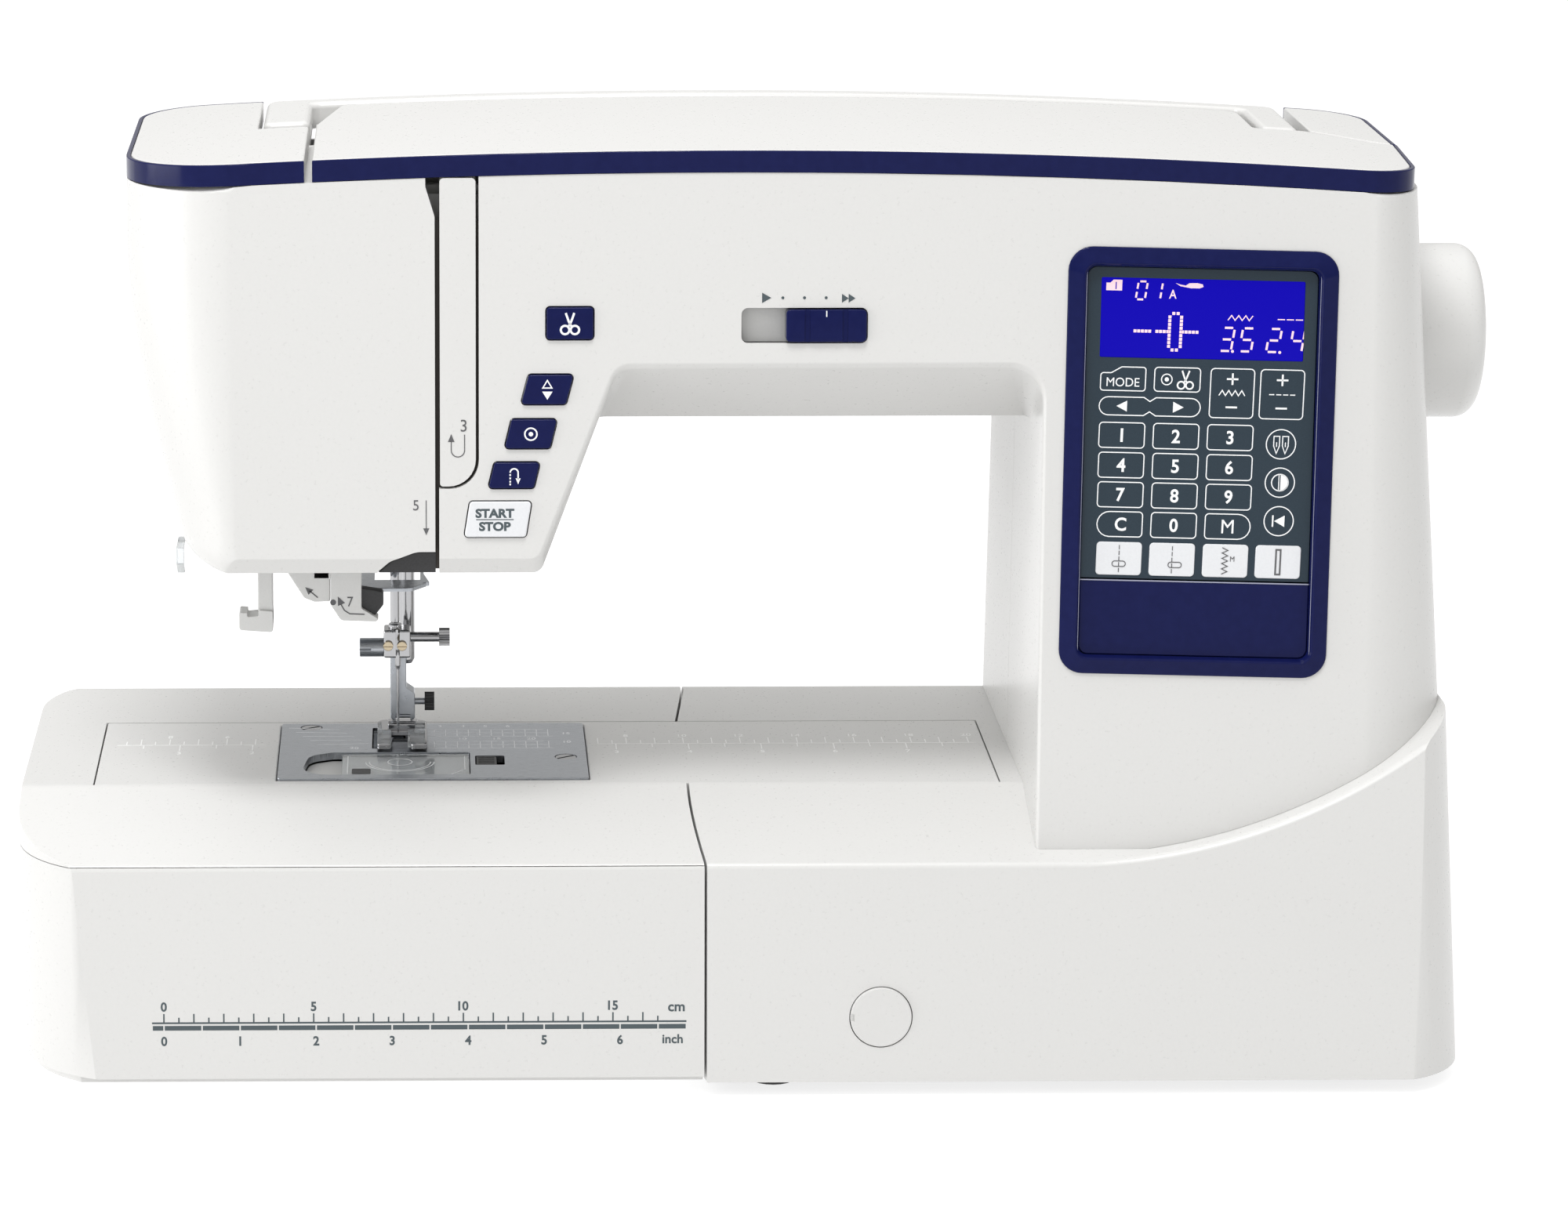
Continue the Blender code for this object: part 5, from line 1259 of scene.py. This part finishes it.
def plan_prism(left, right, corners, grow=0.0):
    """A vertical prism whose ends lean in: left and right are functions of z."""
    front_left, front_right, rear_right, rear_left = corners
    rings = []
    for z in (-2, 20, 40, 60, 75, 85, 95, 110, 125, 140, 170):
        ring = rounded([(left(z) - grow, BASE_FRONT - 3 - grow, front_left),
                        (right(z) + grow, BASE_FRONT - 3 - grow, front_right),
                        (right(z) + grow, BASE_REAR + grow, rear_right),
                        (left(z) - grow, BASE_REAR + grow, rear_left)], 16)
        rings.append([(x, y, z) for x, y in ring])
    return loft(rings)


def split_edge(side, clear=0.45):
    """The curved joint between table and base; side -1 is the table's, +1 the base's."""
    shift = clear * side
    front, back = APRON_CREASE_Y, 76.0
    points = [(SPLIT_X + shift, -130), (SPLIT_X + shift, BASE_FRONT)]
    for step in range(1, 9):
        share = step / 8
        points.append((SPLIT_X + shift - SPLIT_INSET * math.sin(share * math.pi / 2),
                       BASE_FRONT + (front - BASE_FRONT) * share))
    points += [(SPLIT_X - SPLIT_INSET + shift, ARM_REAR), (SPLIT_X + shift, back), (SPLIT_X + shift, 130)]
    return points


def base_solid(grow=0.0, with_plan=True):
    """The bed round the free arm, and the hip that carries the column."""
    body = extruded(section_outline(grow), SPLIT_X - 10, 245, "YZ")
    stations = [HIP_START_X + step * 5 for step in range(30)]
    rings = []
    for depth, drop in ((0.0, 2.0), (0.3, 1.3), (0.8, 0.7), (1.5, 0.25), (2.6, 0.0),
                        (BASE_REAR - BASE_FRONT + 3, 0.0)):
        outline = [(93 - grow, 6.0), (93 - grow, HIP_START_Z + grow - drop)]
        outline += [(x, hip_z(x) + grow - drop) for x in stations]
        outline.append((stations[-1], 6.0))
        rings.append([(x, base_front_y(z) + depth - grow, z) for x, z in outline])
    unite(body, loft(rings))
    if with_plan:
        overlap_of(body, plan_prism(lambda z: -60.0, right_x, (0, 33, 30, 0), grow))
    return body


def make_base():
    body = base_solid()
    hollow = extruded([(y * 0.965, z - WALL) for y, z in section_outline()], SPLIT_X + 3, 245, "YZ")
    unite(hollow, box((SPLIT_X + 3, -95.0, -5), (245, 96.0, 20)))
    overlap_of(hollow, plan_prism(lambda z: -60.0, right_x, (0, 33 - WALL, 30 - WALL, 0), -WALL))
    unite(hollow, box((97, -70, 40), (214, 70, 170)))
    subtract(body, hollow)
    overlap_of(body, extruded(split_edge(1) + [(260, 130), (260, -130)], 0, 170))
    subtract(body, box((-60, ARM_FRONT - GAP, 0), (FREE_RIGHT + GAP, ARM_REAR + GAP, 120)),
             rod((39.9, -110, 27.5), (39.9, -90, 27.5), 10.6, 64),
             box((215, 30, 22), (260, 58, 46)), box((215, -3, 24), (260, 11, 44)),
             rod((215, -30, 34), (260, -30, 34), 6.3, 40))
    round_edges(body, 0.5, lambda p: p.z > 6.5 and (p.x < 90 or p.z < 50) and p.y < 60 and
                not (p.x > 95 and p.x < 225 and p.y > -90))
    publish(body, "base_shell", "machine", "white", ["base_cover"], 32)
    cap = rod((39.9, -96.5, 27.5), (39.9, -99.75, 27.5), 10.3, 64, bevel=0.5)
    subtract(cap, box((28.0, -101, 26.2), (31.0, -98.9, 28.8)))
    publish(cap, "knee_lifter_plug", "machine", "white", ["knee_lifter_cap"])


def make_free_arm():
    cover = box((FREE_LEFT, ARM_FRONT, 46.0), (FREE_RIGHT, ARM_REAR, BED_TOP))
    subtract(cover, box((FREE_LEFT + 3, ARM_FRONT + WALL, 46.0 + WALL),
                        (100, ARM_REAR - WALL, BED_TOP - WALL)))
    subtract(cover, box((PLATE_LOW.x - GAP, PLATE_LOW.y - GAP, 80),
                        (PLATE_HIGH.x + GAP, PLATE_HIGH.y + GAP, 120)))
    round_edges(cover, 0.6)
    publish(cover, "free_arm_shell", "machine", "white", ["free_arm_cover"])


def table_left(inset_by=0.0):
    return lambda z: TABLE_LEFT + 1.2 + inset_by - 0.008 * min(z, BED_TOP)


def make_table():
    section = extruded(section_outline(), TABLE_LEFT - 5, SPLIT_X + 5, "YZ")
    overlap_of(section, plan_prism(table_left(), lambda z: 20.0, (42, 0, 0, 47)))
    side = extruded(split_edge(-1) + [(-270, 130), (-270, -130)], 0, 120)
    overlap_of(section, copy_of(side))
    inner = extruded([(y + (3.0 if y < -60 else 0), z) for y, z in section_outline()],
                     TABLE_LEFT - 5, SPLIT_X + 5, "YZ")
    overlap_of(inner, plan_prism(table_left(3.0), lambda z: 20.0, (39, 0, 0, 44)))
    overlap_of(inner, side)
    lid = overlap_of(copy_of(section), box((-260, -120, 7), (0, -48.5, LID_SEAM_Z)))
    combine(lid, inner, "DIFFERENCE", keep_tool=True)
    round_edges(lid, 0.45, lambda p: p.z > 8)
    publish(lid, "storage_lid_shell", "storage_lid", "white", ["storage_lid"], 32)

    core = overlap_of(inner, box((-260, -120, BODY_BOTTOM), (0, -40, 82)))
    core.data.transform(Matrix.Translation((0.0, GAP * MM, 0.0)))
    overlap_of(core, box((TABLE_LEFT + 3 + GAP, -120, 0), (0, -40, 90)))
    subtract(section, box((-270, -120, 0), (0, -48.2, LID_SEAM_Z + GAP)))
    unite(section, core)
    subtract(section, box((-232, -120, 9), (-28, -52.5, 76)),
             box((FREE_LEFT - GAP - 0.1, ARM_FRONT - GAP, -5), (20, ARM_REAR + GAP, 120)),
             box((-204, 37, -5), (-27, 93, 86)), box((-241, -44, -5), (-229, 30, 90)))

    def outside(p):
        return p.z > LID_SEAM_Z + 1 and p.x < -150 and (p.x < -226 or p.y < -80 or p.y > 40)

    round_edges(section, 2.0, outside, 30.0, 4)
    round_edges(section, 0.5, lambda p: p.z > LID_SEAM_Z + 0.2)
    publish(section, "table_shell", "table", "white", ["extension_table"], 32)


def flat_place(x, y, z):
    """Ink on a level surface."""
    return Matrix.Translation(Vector((x, y, z)) * MM) @ Matrix.Rotation(-math.pi / 2, 4, "X")


def make_ruler():
    """A 15 cm and 6 inch scale printed on the front of the storage lid."""
    start_x, line_z = -199.8, 26.4
    lean = math.atan2(APRON_FRONT_Y - BASE_FRONT, APRON_FRONT_Z - BODY_BOTTOM)
    place = Matrix.Translation(Vector((start_x, base_front_y(line_z), line_z)) * MM)
    ink = Ink(place @ Matrix.Rotation(-lean, 4, "X"), 0.1)
    lead = -4.0
    inch = 25.4
    end = 174.6
    ink.stroke([(lead, 0), (end, 0)], 0.6)
    for half_cm in range(34):
        tall = 3.2 if half_cm % 2 == 0 else 1.9
        ink.stroke([(half_cm * 5, 0.2), (half_cm * 5, tall)], 0.5)
    ends = [lead] + [half * inch / 2 for half in range(14)] + [end]
    for left, right in zip(ends, ends[1:]):
        ink.stroke([(left + 0.25, -1.75), (right - 0.25, -1.75)], 1.6)
    for mark in (0, 5, 10, 15):
        ink.text(str(mark), (mark * 10, 5.6), 3.3, 0.03, 0.95)
    ink.text("cm", (mark * 10 + 21.2, 4.6), 2.5, 0.025)
    for mark in range(7):
        ink.text(str(mark), (mark * inch, -6.3), 3.3, 0.03, 0.95)
    ink.text("inch", (6 * inch + 17.6, -6.1), 3.2, 0.025)
    ink.publish("ruler_marks", "storage_lid", "ink_slate")


def make_embossing():
    """Raised centimetre and inch scales along the free arm."""
    for name, low_x, high_x in (("left", -220.0, -168.0), ("right", -52.0, 81.0)):
        ink = Ink(flat_place(0, 0, BED_TOP), 0.22)
        line_y = 3.0
        ink.stroke([(low_x, line_y), (high_x, line_y)], 0.35)
        centre = NEEDLE_X
        side = -1 if name == "left" else 1
        for count in range(1, 42):
            x = centre + side * count * 5.0
            if low_x <= x <= high_x:
                major = count % 2 == 0
                ink.stroke([(x, line_y), (x, line_y + (7.5 if major else 4.5))], 0.35)
                if count % 4 == 0:
                    ink.text(str(count // 2), (x, line_y + 10.5), 3.0, 0.0, 0.9)
        for count in range(1, 17):
            x = centre + side * count * 12.7
            if low_x <= x <= high_x:
                major = count % 2 == 0
                ink.stroke([(x, line_y), (x, line_y - (7.5 if major else 4.5))], 0.35)
                if major:
                    ink.text(str(count // 2), (x, line_y - 10.5), 3.0, 0.0, 0.9)
        # Drawn in the lighter emboss material: painted highlight on the raised marks.
        ink.publish("free_arm_scale_" + name, "machine", "emboss")


# ------------------------------------------------------------ needle plate

PLATE_TOP = PLATE_HIGH.z
COVER_BOX = (-141.3, -38.1, -96.7, -9.7)      # clear bobbin cover's opening in the plate
RECESS_LEFT = -155.4
RELEASE_BOX = (-95.0, -26.2, -87.2, -14.4)
SCREWS = ((-152.4, 23.3), (-63.5, -16.2))
NEEDLE_HOLES = (-127.3, -115.7)


def capsule(centre, length, width, steps=8):
    """A slot-shaped outline lying along u."""
    u, v = centre
    half, radius = length / 2 - width / 2, width / 2
    points = []
    for middle, first in ((u + half, -90), (u - half, 90)):
        for step in range(steps + 1):
            angle = math.radians(first + 180 * step / steps)
            points.append((middle + radius * math.cos(angle), v + radius * math.sin(angle)))
    return points


def finger_recess(shrink):
    """The opening over the bobbin, round at its left end where a finger lifts the cover."""
    low_x, low_y, high_x, high_y = COVER_BOX
    return rounded([(RECESS_LEFT + shrink, low_y + shrink, 9), (high_x - shrink, low_y + shrink, 1),
                    (high_x - shrink, high_y - shrink, 1), (low_x - 3.0, high_y - shrink, 4),
                    (RECESS_LEFT + 3.0 + shrink, high_y - 4.0, 8)], 6)


def make_needle_plate():
    low_x, low_y, high_x, high_y = PLATE_LOW.x, PLATE_LOW.y, PLATE_HIGH.x, PLATE_HIGH.y
    outline = rounded(rectangle(low_x, low_y, high_x, high_y, 1.2), 4)
    metal = plate(outline, PLATE_LOW.z, PLATE_TOP, "XY", 0.2, 2)

    def hole(points):
        subtract(metal, extruded(points, PLATE_LOW.z - 3, PLATE_TOP + 3))

    hole(finger_recess(0.0))
    hole(rounded(rectangle(*RELEASE_BOX[:2], RELEASE_BOX[2] + 2.4, RELEASE_BOX[3], 0.8), 3))
    hole(capsule((-121.5, NEEDLE_Y), NEEDLE_HOLES[1] - NEEDLE_HOLES[0], 1.9))
    for low, high, front in ((-130.8, -127.4, -4.9), (-124.3, -119.2, 8.1), (-115.8, -112.3, -4.9)):
        hole(rounded(rectangle(low, front, high, 22.8, 0.8), 3))
    for x, y in SCREWS:
        subtract(metal, rod((x, y, PLATE_TOP - 0.8), (x, y, PLATE_TOP + 2), 3.9, 32))
    publish(metal, "needle_plate_metal", "machine", "steel", ["needle_plate"])
    heads = []
    for x, y in SCREWS:
        head = rod((x, y, PLATE_TOP - 1.2), (x, y, PLATE_TOP - 0.05), 3.7, 32, bevel=0.3)
        turn = math.radians(35)
        slot_cut = box((-4.5, -0.5, PLATE_TOP - 0.65), (4.5, 0.5, PLATE_TOP + 1))
        moved(slot_cut, Matrix.Translation((x * MM, y * MM, 0)) @ Matrix.Rotation(turn, 4, "Z"))
        heads.append(subtract(head, slot_cut))
    publish(joined(*heads), "needle_plate_screws", "machine", "chrome")

    ink = Ink(flat_place(0, 0, PLATE_TOP), 0.06)
    for count in range(5):
        u = -140.0 - count * 2.6
        ink.stroke([(u + 8.0, 2.0 + count * 4.6), (u - 10.0, 0.5 + count * 5.6)], 0.28)
    for row, v in enumerate((-4.5, 0.0, 4.5, 11.0, 15.5, 20.0)):
        ink.stroke([(-111.5, v), (-67.5 - (row % 3) * 1.5, v)], 0.3)
    for column in range(11):
        u = -109.0 + column * 4.0
        for low_v in (-4.5, 11.0):
            ink.stroke([(u, low_v), (u, low_v + 9.0)], 0.26)
    for digit, u, v in (("3", -107.0, 24.6), ("4", -99.0, 24.6), ("5", -91.0, 24.6), ("6", -83.0, 24.6),
                        ("10", -99.0, 7.8), ("15", -87.0, 7.8), ("20", -75.0, 7.8),
                        ("10", -62.5, 3.5), ("15", -62.5, 14.5), ("20", -137.0, -4.0)):
        ink.text(digit, (u, v), 2.6, 0.006, 0.9)
    ink.publish("plate_scale", "machine", "engrave")


def make_bobbin_cover():
    low_x, low_y, high_x, high_y = COVER_BOX
    outline = rounded(rectangle(low_x + 0.3, low_y + 0.3, high_x - 0.3, high_y - 0.3, 0.9), 4)
    tray = extruded(finger_recess(0.2), 91.2, 92.2)
    publish(tray, "finger_recess_floor", "machine", "white_satin")
    cover = plate(outline, 93.0, PLATE_TOP - 0.5, "XY", 0.25, 2)
    publish(cover, "bobbin_cover_clear", "bobbin_cover", "clear", ["bobbin_cover"])
    rings = Ink(flat_place(0, 0, PLATE_TOP - 0.5), 0.08)
    centre = (-121.0, -20.5)
    for radius in (4.2, 10.6, 11.8):
        rings.arc(centre, radius, 0.35, 0, -180 if radius > 5 else -360, 36)
    rings.stroke([(-139.0, -12.6), (-139.0, -35.4)], 0.3)
    rings.stroke([(-103.2, -36.0), (-98.6, -30.0), (-98.6, -13.0)], 0.3)
    rings.publish("bobbin_cover_marks", "bobbin_cover", "ink_white")
    window = Ink(flat_place(0, 0, PLATE_TOP - 0.5), 0.08)
    window.fill(rounded([(-137.5, -35.6, 0.8), (-131.0, -35.6, 0.8), (-131.0, -29.0, 0.8),
                         (-137.5, -29.0, 0.8)], 3))
    window.publish("bobbin_cover_patch", "bobbin_cover", "dark", 0.02)
    release = box((RELEASE_BOX[0] + 0.3, RELEASE_BOX[1] + 0.3, 93.2),
                  (RELEASE_BOX[2] - 0.3, RELEASE_BOX[3] - 0.3, PLATE_TOP - 0.1), 0.5)
    for step in range(5):
        y = RELEASE_BOX[1] + 2.4 + step * 1.75
        subtract(release, box((RELEASE_BOX[0] + 1.1, y, PLATE_TOP - 0.55),
                              (RELEASE_BOX[2] - 1.1, y + 0.7, PLATE_TOP + 1)))
    publish(release, "cover_release_shell", "cover_release", "dark", ["cover_release_button"])


def make_feed_dog():
    """Three rows of slanted teeth."""
    bars = []
    for low_x, high_x, low_y in ((-130.3, -127.9, -2.2), (-123.8, -119.7, 10.6), (-115.3, -112.8, -2.2)):
        profile = [(20.2, 89.6), (low_y, 89.6)]
        y = low_y
        while y < 19.2:
            profile += [(y, PLATE_TOP - 0.7), (y + 0.9, PLATE_TOP - 0.05), (y + 1.15, PLATE_TOP - 0.7)]
            y += 1.2
        profile.append((20.2, PLATE_TOP - 0.7))
        bars.append(extruded(profile, low_x, high_x, "YZ"))
    bars.append(box((-131.0, 11, 84.5), (-112.2, 20.5, 90.5), 0.5))
    publish(joined(*bars), "feed_dog_teeth", "feed_dog", "steel", ["feed_dog"])


# ------------------------------------------------------------ needle, clamp and presser foot

def knurled(centre, outer, inner, count):
    """A round outline with fine ridges."""
    points = []
    for step in range(count):
        angle = 2 * math.pi * step / count
        radius = outer if step % 2 else inner
        points.append((centre[0] + radius * math.cos(angle), centre[1] + radius * math.sin(angle)))
    return points


def make_needle_group():
    x, y = NEEDLE_BAR_X, NEEDLE_Y
    bar = turned([(0, 0), (1.3, 0), (1.65, 0.4), (1.65, 133.7), (0, 133.7)], (x, y, 138.3), (0, 0, 1), 40)
    publish(bar, "needle_bar_rod", "needle_bar", "chrome", ["needle_bar"])
    clamp = box((-126.6, 0.6, 126.4), (-117.2, 9.6, 136.4), 0.8)
    subtract(clamp, box((-122.4, -1, 125), (-121.0, 6, 138)))
    unite(clamp, turned([(0, 0), (1.9, 0), (2.3, 0.5), (2.3, 1.6), (1.9, 2.0), (0, 2.0)],
                        (x, y, 136.0), (0, 0, 1), 32))
    stem = rod((-119, y, 133), (-106.5, y, 133), 1.75, 28)
    unite(clamp, stem)
    knob = knurled((y, 133), 3.1, 2.75, 48)
    barrel = rod((-135, y, 129.3), (-126.2, y, 129.3), 3.3, 40, bevel=0.4)
    subtract(barrel, box((-136, 0, 128.9), (-131.0, 3.4, 130.0)))
    publish(barrel, "threader_guide_barrel", "needle_bar", "steel")
    publish(joined(clamp, extruded(knob, -107.3, -103.6, "YZ")), "needle_clamp_block", "needle_bar",
            "chrome", ["needle_clamp"])
    screws = []
    for screw_x in (-125.0, -120.2):
        head = rod((screw_x, -0.6, 131), (screw_x, 1.4, 131), 1.75, 28, bevel=0.3)
        screws.append(subtract(head, box((screw_x - 2.4, -1.2, 130.7), (screw_x + 2.4, -0.1, 131.3))))
    publish(joined(*screws), "clamp_screws", "needle_bar", "brass")
    needle = turned([(0, 0), (0.1, 0), (0.42, 4.5), (0.45, 5.0), (0.45, 23.0), (0.95, 24.6),
                     (1.0, 25.0), (1.0, 29.6), (0, 29.6)], (NEEDLE_X, NEEDLE_Y, 98.0), (0, 0, 1), 20)
    publish(needle, "needle_blade", "needle_bar", "chrome", ["needle"])
    loop = bent_wire([(-123.4, 1.2, 135.6), (-123.4, -1.6, 137.6), (-122.3, -3.0, 138.4),
                      (-121.2, -1.6, 137.6), (-121.2, 1.2, 135.6)], 0.35)
    publish(loop, "needle_bar_thread_loop", "needle_bar", "chrome")


def bent_wire(points, radius, sides=10):
    """A wire through points, one closed loft."""
    points = [Vector(point) for point in points]
    rings = []
    for index, here in enumerate(points):
        before = points[max(index - 1, 0)]
        after = points[min(index + 1, len(points) - 1)]
        along = (after - before).normalized()
        side = along.orthogonal() if index == 0 else side - along * side.dot(along)
        side.normalize()
        up = along.cross(side)
        rings.append([here + (side * math.cos(2 * math.pi * s / sides) +
                              up * math.sin(2 * math.pi * s / sides)) * radius for s in range(sides)])
    return loft(rings)


def make_presser_group():
    x, y = PRESSER_X, PRESSER_Y
    bar = turned([(0, 0), (1.6, 0), (2.6, 1.8), (2.6, 151.0), (0, 151.0)], (x, y, 121.0), (0, 0, 1), 40)
    publish(bar, "presser_bar_rod", "presser_bar", "chrome", ["presser_bar"])
    shank = plate(rounded([(-124.4, 101.0, 1.5), (-115.8, 101.0, 1.5), (-115.8, 111.0, 1.5),
                           (-118.8, 113.0, 0.8), (-118.8, 125.0, 0.5), (-124.4, 125.0, 1.2)], 4),
                  19.0, 11.4, "XZ", 0.4)
    subtract(shank, box((-122.6, 10, 100), (-117.4, 22, 103.4)))
    unite(shank, rod((-124.0, 14.0, 102.2), (-115.8, 14.0, 102.2), 0.9, 20))
    pin = rod((-116.5, 15.7, 107), (-112.0, 15.7, 107), 1.2, 24)
    publish(joined(shank, pin), "foot_holder_block", "presser_bar", "steel", ["foot_holder"])
    knob = extruded(knurled((15.7, 107), 3.3, 2.95, 40), -112.4, -109.0, "YZ")
    publish(knob, "foot_thumb_screw", "presser_bar", "dark")
    lever = bent_wire([(-120.0, 19.6, 104.2), (-120.0, 22.0, 103.4), (-120.0, 24.0, 104.6)], 0.55)
    publish(lever, "foot_release_lever", "presser_bar", "dark")

    sole_outline = rounded([(-129, -9, 1.2), (-124.2, -9, 1.2), (-123.2, 0.8, 0.5), (-127.0, 1.6, 0.5),
                            (-127.0, 8.6, 0.8), (-116.2, 8.6, 0.8), (-116.2, 1.6, 0.5),
                            (-118.0, 0.8, 0.5), (-117.2, -9, 1.2), (-111.6, -9, 1.2), (-111.6, 24.4, 3),
                            (-129, 24.4, 3)], 3)
    sole = extruded(sole_outline, 96.3, 97.9)
    round_edges(sole, 0.3, lambda p: p.z > 97.5)
    heel = box((-125.4, 10.5, 97.5), (-114.8, 17.4, 100.2), 0.6)
    pins = [rod((-125.2, 12.4, 100.0), (-114.9, 12.4, 100.0), 0.55, 18)]
    publish(joined(unite(sole, heel), *pins), "presser_foot_sole", "presser_foot", "chrome",
            ["presser_foot"])
    toes = []
    front = [(-8.8, 96.5), (-8.8, 97.3), (-6.8, 98.4), (-1.5, 99.2), (1.4, 100.6), (1.4, 96.5)]
    rear = [(1.3, 96.5), (1.3, 100.5), (3.0, 101.7), (7.4, 101.8), (9.4, 100.4), (9.4, 96.5)]
    for low_u, high_u, profile in ((-128.9, -124.0, front), (-118.4, -112.2, front),
                                   (-128.9, -127.4, rear), (-115.9, -112.2, rear)):
        toe = extruded(profile, low_u, high_u, "YZ")
        round_edges(toe, 0.35)
        toes.append(toe)
    publish(joined(*toes), "presser_foot_toes", "presser_foot", "clear")


def make_thread_guides():
    outline = [(-141.0, -13.0, 1.5), (-117.0, -13.0, 3), (-110.6, -4.0, 1.0), (-112.5, 8.0, 3),
               (-113.2, 23.5, 2), (-141.0, 23.5, 2)]
    guide = plate(rounded(outline, 4), 153.6, 154.9, "XY", 0.25, 2)
    subtract(guide, box((-129.6, -1, 150), (-113.8, 21, 158)),
             box((-112.8, -5.6, 150), (-108.0, -4.8, 158)))
    stem = box((-141, 13, 154), (-137.2, 22, 200), 0.8)
    publish(unite(guide, stem), "thread_guide_lower", "machine", "steel",
            ["thread_guide_plate"])


def make_threader():
    """Thread guide hook on its lever, and the two wings of the needle threader."""
    lever = extruded(rounded([(-168.6, 150.2, 0.6), (-163.6, 150.2, 0.6), (-163.6, 191, 2),
                              (-143.2, 191, 0.5), (-143.2, 197.6, 0.5), (-168.6, 197.6, 1)], 3),
                     -46, -38.6, "XZ")
    round_edges(lever, 0.5)
    hook = extruded(rounded([(-175, 148.6, 1.0), (-163.6, 147.8, 1.0), (-163.6, 155.2, 0.5),
                             (-168.4, 155.6, 0.5), (-168.4, 153.6, 0.5), (-172.2, 153.2, 0.4),
                             (-172.2, 154.6, 0.3), (-175, 154.8, 0.6)], 3), -47, -37.4, "XZ")
    round_edges(hook, 0.4)
    left_wing = extruded(rounded([(-159.5, 170, 0.5), (-153.0, 159.6, 2), (-149.5, 158.2, 1),
                                  (-144.2, 158.4, 0.5), (-144.2, 170, 0.5)], 4), -46.4, -42.0, "XZ")
    right_wing = extruded(rounded([(-144.0, 170, 0.5), (-144.0, 157.4, 1), (-140.6, 152.0, 2),
                                   (-128.6, 151.6, 1), (-127.8, 152.6, 0.4), (-133.6, 156.2, 1),
                                   (-133.6, 170, 0.5)], 4), -47.6, -40.4, "XZ")
    for wing in (left_wing, right_wing):
        round_edges(wing, 0.5)
    stem = box((-150, -46.4, 166), (-143, -39.4, 194), 0.5)
    publish(joined(lever, hook, left_wing, right_wing, stem), "needle_threader_levers", "threader",
            "white_satin", ["needle_threader"])
    catch = extruded(rounded([(-134.6, 163.0, 0.5), (-134.6, 154.0, 1), (-129.4, 152.8, 1),
                              (-126.2, 157.0, 1.5), (-126.2, 161.6, 1)], 4), -45.6, -41.2, "XZ")
    round_edges(catch, 0.5)
    publish(catch, "threader_catch", "threader", "dark")
    ink = Ink(Matrix.Translation(Vector((0, -47.6, 0)) * MM), 0.1)
    ink.disc((-143.2, 158.4), 1.0, 16)
    ink.arrow((-141.6, 160.4), (-0.45, 1), 3.0, 2.6)
    ink.stroke([(-140.6, 157.8), (-139.4, 155.6), (-137.6, 154.4), (-132.6, 154.2)], 0.4)
    ink.text("7", (-137.4, 158.6), 3.4, 0.0, 0.9)
    ink.publish("threader_marks", "threader", "ink_grey", 0.06)
    ink = Ink(Matrix.Translation(Vector((0, -46.4, 0)) * MM), 0.1)
    ink.arrow((-152.6, 163.4), (-0.8, 0.75), 2.6, 2.4)
    ink.stroke([(-151.2, 162.2), (-148.4, 159.8)], 0.4)
    ink.publish("threader_arrow", "threader", "ink_grey", 0.06)


def make_thread_cutter():
    """Small clear blade guard on the left of the head, under its rim."""
    guard = extruded(rounded([(-46, 171.5, 1.0), (-38, 166.5, 1.5), (-28, 166.5, 1.5), (-28, 177.0, 0.5),
                              (-46, 177.0, 0.5)], 4), -196.0, -193.4, "YZ")
    round_edges(guard, 0.3)
    publish(guard, "thread_cutter_guard", "machine", "clear")


# ------------------------------------------------------------ wheel, switch and inner pieces

def make_wheel():
    rim = 7.0
    radius = (WHEEL_HIGH.z - WHEEL_LOW.z) / 2
    depth = 24.6
    profile = [(0, depth - 1.6), (12.0, depth - 1.6), (14.6, depth - 1.2), (15.6, depth)]
    for angle in [math.radians(6 * step) for step in range(16)]:
        profile.append((radius - rim + rim * math.sin(angle), depth - rim + rim * math.cos(angle)))
    profile += [(radius, 1.4), (radius - 0.4, 0.6), (radius - 1.2, 0.1), (11.5, 0.1), (11.5, -7.0),
                (0, -7.0)]
    low_x = WHEEL_HIGH.x - depth
    wheel = turned(profile, (low_x, SHAFT_Y, SHAFT_Z), (1, 0, 0), 96)
    publish(wheel, "handwheel_shell", "wheel", "white", ["handwheel"], 40)


KEPT = {"white_plastic": "white_satin", "navy_plastic": "navy", "slate_overlay": "slate",
        "display_blue": "display", "dark_plastic": "dark", "brushed_steel": "steel", "chrome": "chrome",
        "cast_aluminium": "cast", "clear_plastic": "clear", "rubber": "rubber", "circuit_board": "board"}


def colour_kept_nodes():
    """Every frame node still shown gets the finished material of its slot."""
    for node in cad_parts.values():
        for slot in node.material_slots:
            name = slot.material.name.split(".")[0] if slot.material else "white_plastic"
            slot.material = LOOK[KEPT.get(name, "white_satin")]


def main():
    make_camera()
    make_studio()
    colour_kept_nodes()
    make_housing(base_solid(BASE_CLEAR, with_plan=False))
    make_bezel()
    make_overlay()
    make_keypad()
    make_display()
    for name, place in BUTTONS.items():
        make_button(name, *place)
    make_slider()
    make_face_marks()
    make_lid()
    make_top_covers()
    make_handle()
    make_deck()
    make_base()
    make_free_arm()
    make_table()
    make_ruler()
    make_embossing()
    make_needle_plate()
    make_bobbin_cover()
    make_feed_dog()
    make_needle_group()
    make_presser_group()
    make_thread_guides()
    make_threader()
    make_thread_cutter()
    make_wheel()


main()
